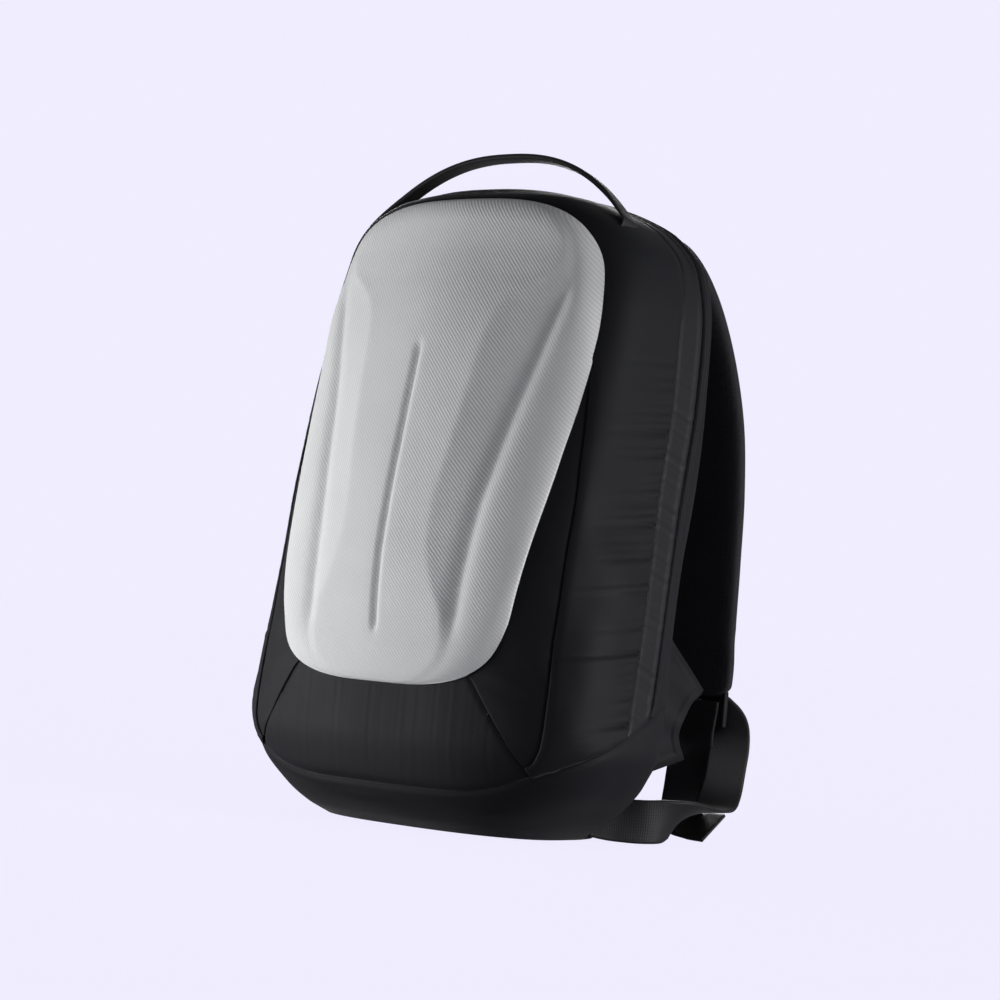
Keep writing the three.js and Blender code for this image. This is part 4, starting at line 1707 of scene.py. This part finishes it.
@dataclass
class Studio:
    """Camera, floor and soft light."""

    pieces: list[bpy.types.Object]
    azimuth: float = 37.0
    elevation: float = -3.0
    roll: float = 5.0
    distance: float = 1.844
    target: tuple[float, float, float] = (0.0, 0.0, 0.230)
    lens: float = 93.6
    floor_size: float = 60.0
    pale: tuple[float, float, float] = (0.871, 0.847, 1.0)
    catch: float = 0.24
    glow: float = 0.963
    bounce: float = 0.12
    fill: float = 0.3
    fill_above: float = 0.1
    fill_color: tuple[float, float, float] = (0.97, 0.97, 1.0)
    fill_top: float = 0.8
    lamps: tuple[Lamp, ...] = (
        Lamp("key_light", (-0.64, -0.5, 0.02), 0.3, 7.2),
        Lamp("front_light", (-0.4, -0.8, 0.02), 0.3, 3.2),
        Lamp("side_light", (1.45, 0.45, 0.02), 0.6, 30.0),
        Lamp("back_light", (-1.3, 1.7, 0.8), 1.2, 55.0),
    )
    lit: bpy.types.Collection | None = None

    def camera(self) -> None:
        """Make the camera at the photograph's angle."""
        a, e, r = (math.radians(d) for d in (self.azimuth, self.elevation, self.roll))
        back = Vector((math.sin(a) * math.cos(e), -math.cos(a) * math.cos(e), math.sin(e)))
        level = Vector((math.cos(a), math.sin(a), 0.0))
        above = back.cross(level)
        right = level * math.cos(r) + above * math.sin(r)
        up = above * math.cos(r) - level * math.sin(r)
        data = bpy.data.cameras.new("camera")
        data.lens, data.sensor_width = self.lens, 36.0
        data.clip_start, data.clip_end = 0.05, 200.0
        obj = bpy.data.objects.new("camera", data)
        turn = Matrix((right, up, back)).transposed().to_4x4()
        obj.matrix_world = Matrix.Translation(Vector(self.target) + back * self.distance) @ turn
        bpy.context.scene.collection.objects.link(obj)
        bpy.context.scene.camera = obj

    def floor(self) -> None:
        """Make the pale floor."""
        bm = bmesh.new()
        bmesh.ops.create_grid(bm, x_segments=2, y_segments=2, size=self.floor_size)
        mesh = bpy.data.meshes.new("floor")
        bm.to_mesh(mesh)
        bm.free()
        obj = bpy.data.objects.new("floor", mesh)
        bpy.context.scene.collection.objects.link(obj)
        n = Nodes("pale_floor")
        seen = n.add("ShaderNodeLightPath").outputs["Is Camera Ray"]
        span = {"Value": seen, "To Min": self.bounce, "To Max": self.glow}
        glow = n.add("ShaderNodeMapRange", span).outputs[0]
        n.surface(Base_Color=(*shade(self.pale, self.catch), 1), Roughness=0.9, Specular_IOR_Level=0.0,
                  Emission_Color=(*self.pale, 1), Emission_Strength=glow)
        obj.data.materials.append(n.material)

    def light(self, lamp: Lamp) -> None:
        """Add one lamp, which lights the pack and not the floor.

        Args:
            lamp: The lamp.
        """
        data = bpy.data.lights.new(lamp.name, "AREA")
        data.shape, data.size, data.energy = "SQUARE", lamp.size, lamp.power
        obj = bpy.data.objects.new(lamp.name, data)
        obj.location = lamp.spot
        obj.visible_camera = False
        obj.rotation_mode = "QUATERNION"
        obj.rotation_quaternion = (Vector(self.target) - Vector(lamp.spot)).to_track_quat("-Z", "Y")
        obj.light_linking.receiver_collection = self.lit
        bpy.context.scene.collection.objects.link(obj)

    def world(self) -> None:
        """A pale backdrop that lights the pack only softly."""
        world = bpy.data.worlds.new("studio")
        world.use_nodes = True
        bpy.context.scene.world = world
        tree = world.node_tree
        shown = tree.nodes["Background"]
        shown.inputs["Color"].default_value = (*self.pale, 1)
        shown.inputs["Strength"].default_value = 1.0
        soft = tree.nodes.new("ShaderNodeBackground")
        soft.inputs["Color"].default_value = (*self.fill_color, 1)
        height = tree.nodes.new("ShaderNodeSeparateXYZ")
        tree.links.new(tree.nodes.new("ShaderNodeTexCoord").outputs["Generated"], height.inputs[0])
        dim = tree.nodes.new("ShaderNodeMapRange")
        tree.links.new(height.outputs["Z"], dim.inputs["Value"])
        dim.inputs["From Max"].default_value = self.fill_top
        dim.inputs["To Min"].default_value = self.fill
        dim.inputs["To Max"].default_value = self.fill_above
        tree.links.new(dim.outputs[0], soft.inputs["Strength"])
        path = tree.nodes.new("ShaderNodeLightPath")
        both = tree.nodes.new("ShaderNodeMixShader")
        tree.links.new(path.outputs["Is Camera Ray"], both.inputs[0])
        tree.links.new(soft.outputs[0], both.inputs[1])
        tree.links.new(shown.outputs[0], both.inputs[2])
        tree.links.new(both.outputs[0], tree.nodes["World Output"].inputs["Surface"])

    def build(self) -> None:
        """Set the studio up."""
        bpy.context.scene.view_settings.view_transform = "Standard"
        self.lit = bpy.data.collections.new("lit_by_lamps")
        for obj in self.pieces:
            self.lit.objects.link(obj)
        self.camera()
        self.floor()
        self.world()
        for lamp in self.lamps:
            self.light(lamp)


def main() -> None:
    logging.basicConfig(level=logging.INFO, format="%(message)s")
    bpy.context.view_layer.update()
    body = BodyForm()
    shell = ShellForm(body)
    seams = SeamLines(body, shell)
    wardrobe = Wardrobe()
    FrontShell(shell, wardrobe).build()
    ClothBody(body, shell, seams, wardrobe).build()
    BackPanel(body, seams, wardrobe).build()
    CarryHandle(wardrobe).build()
    for side in Side:
        Harness(side, wardrobe).build()
    Studio(wardrobe.worn).build()


if __name__ == "__main__":
    main()
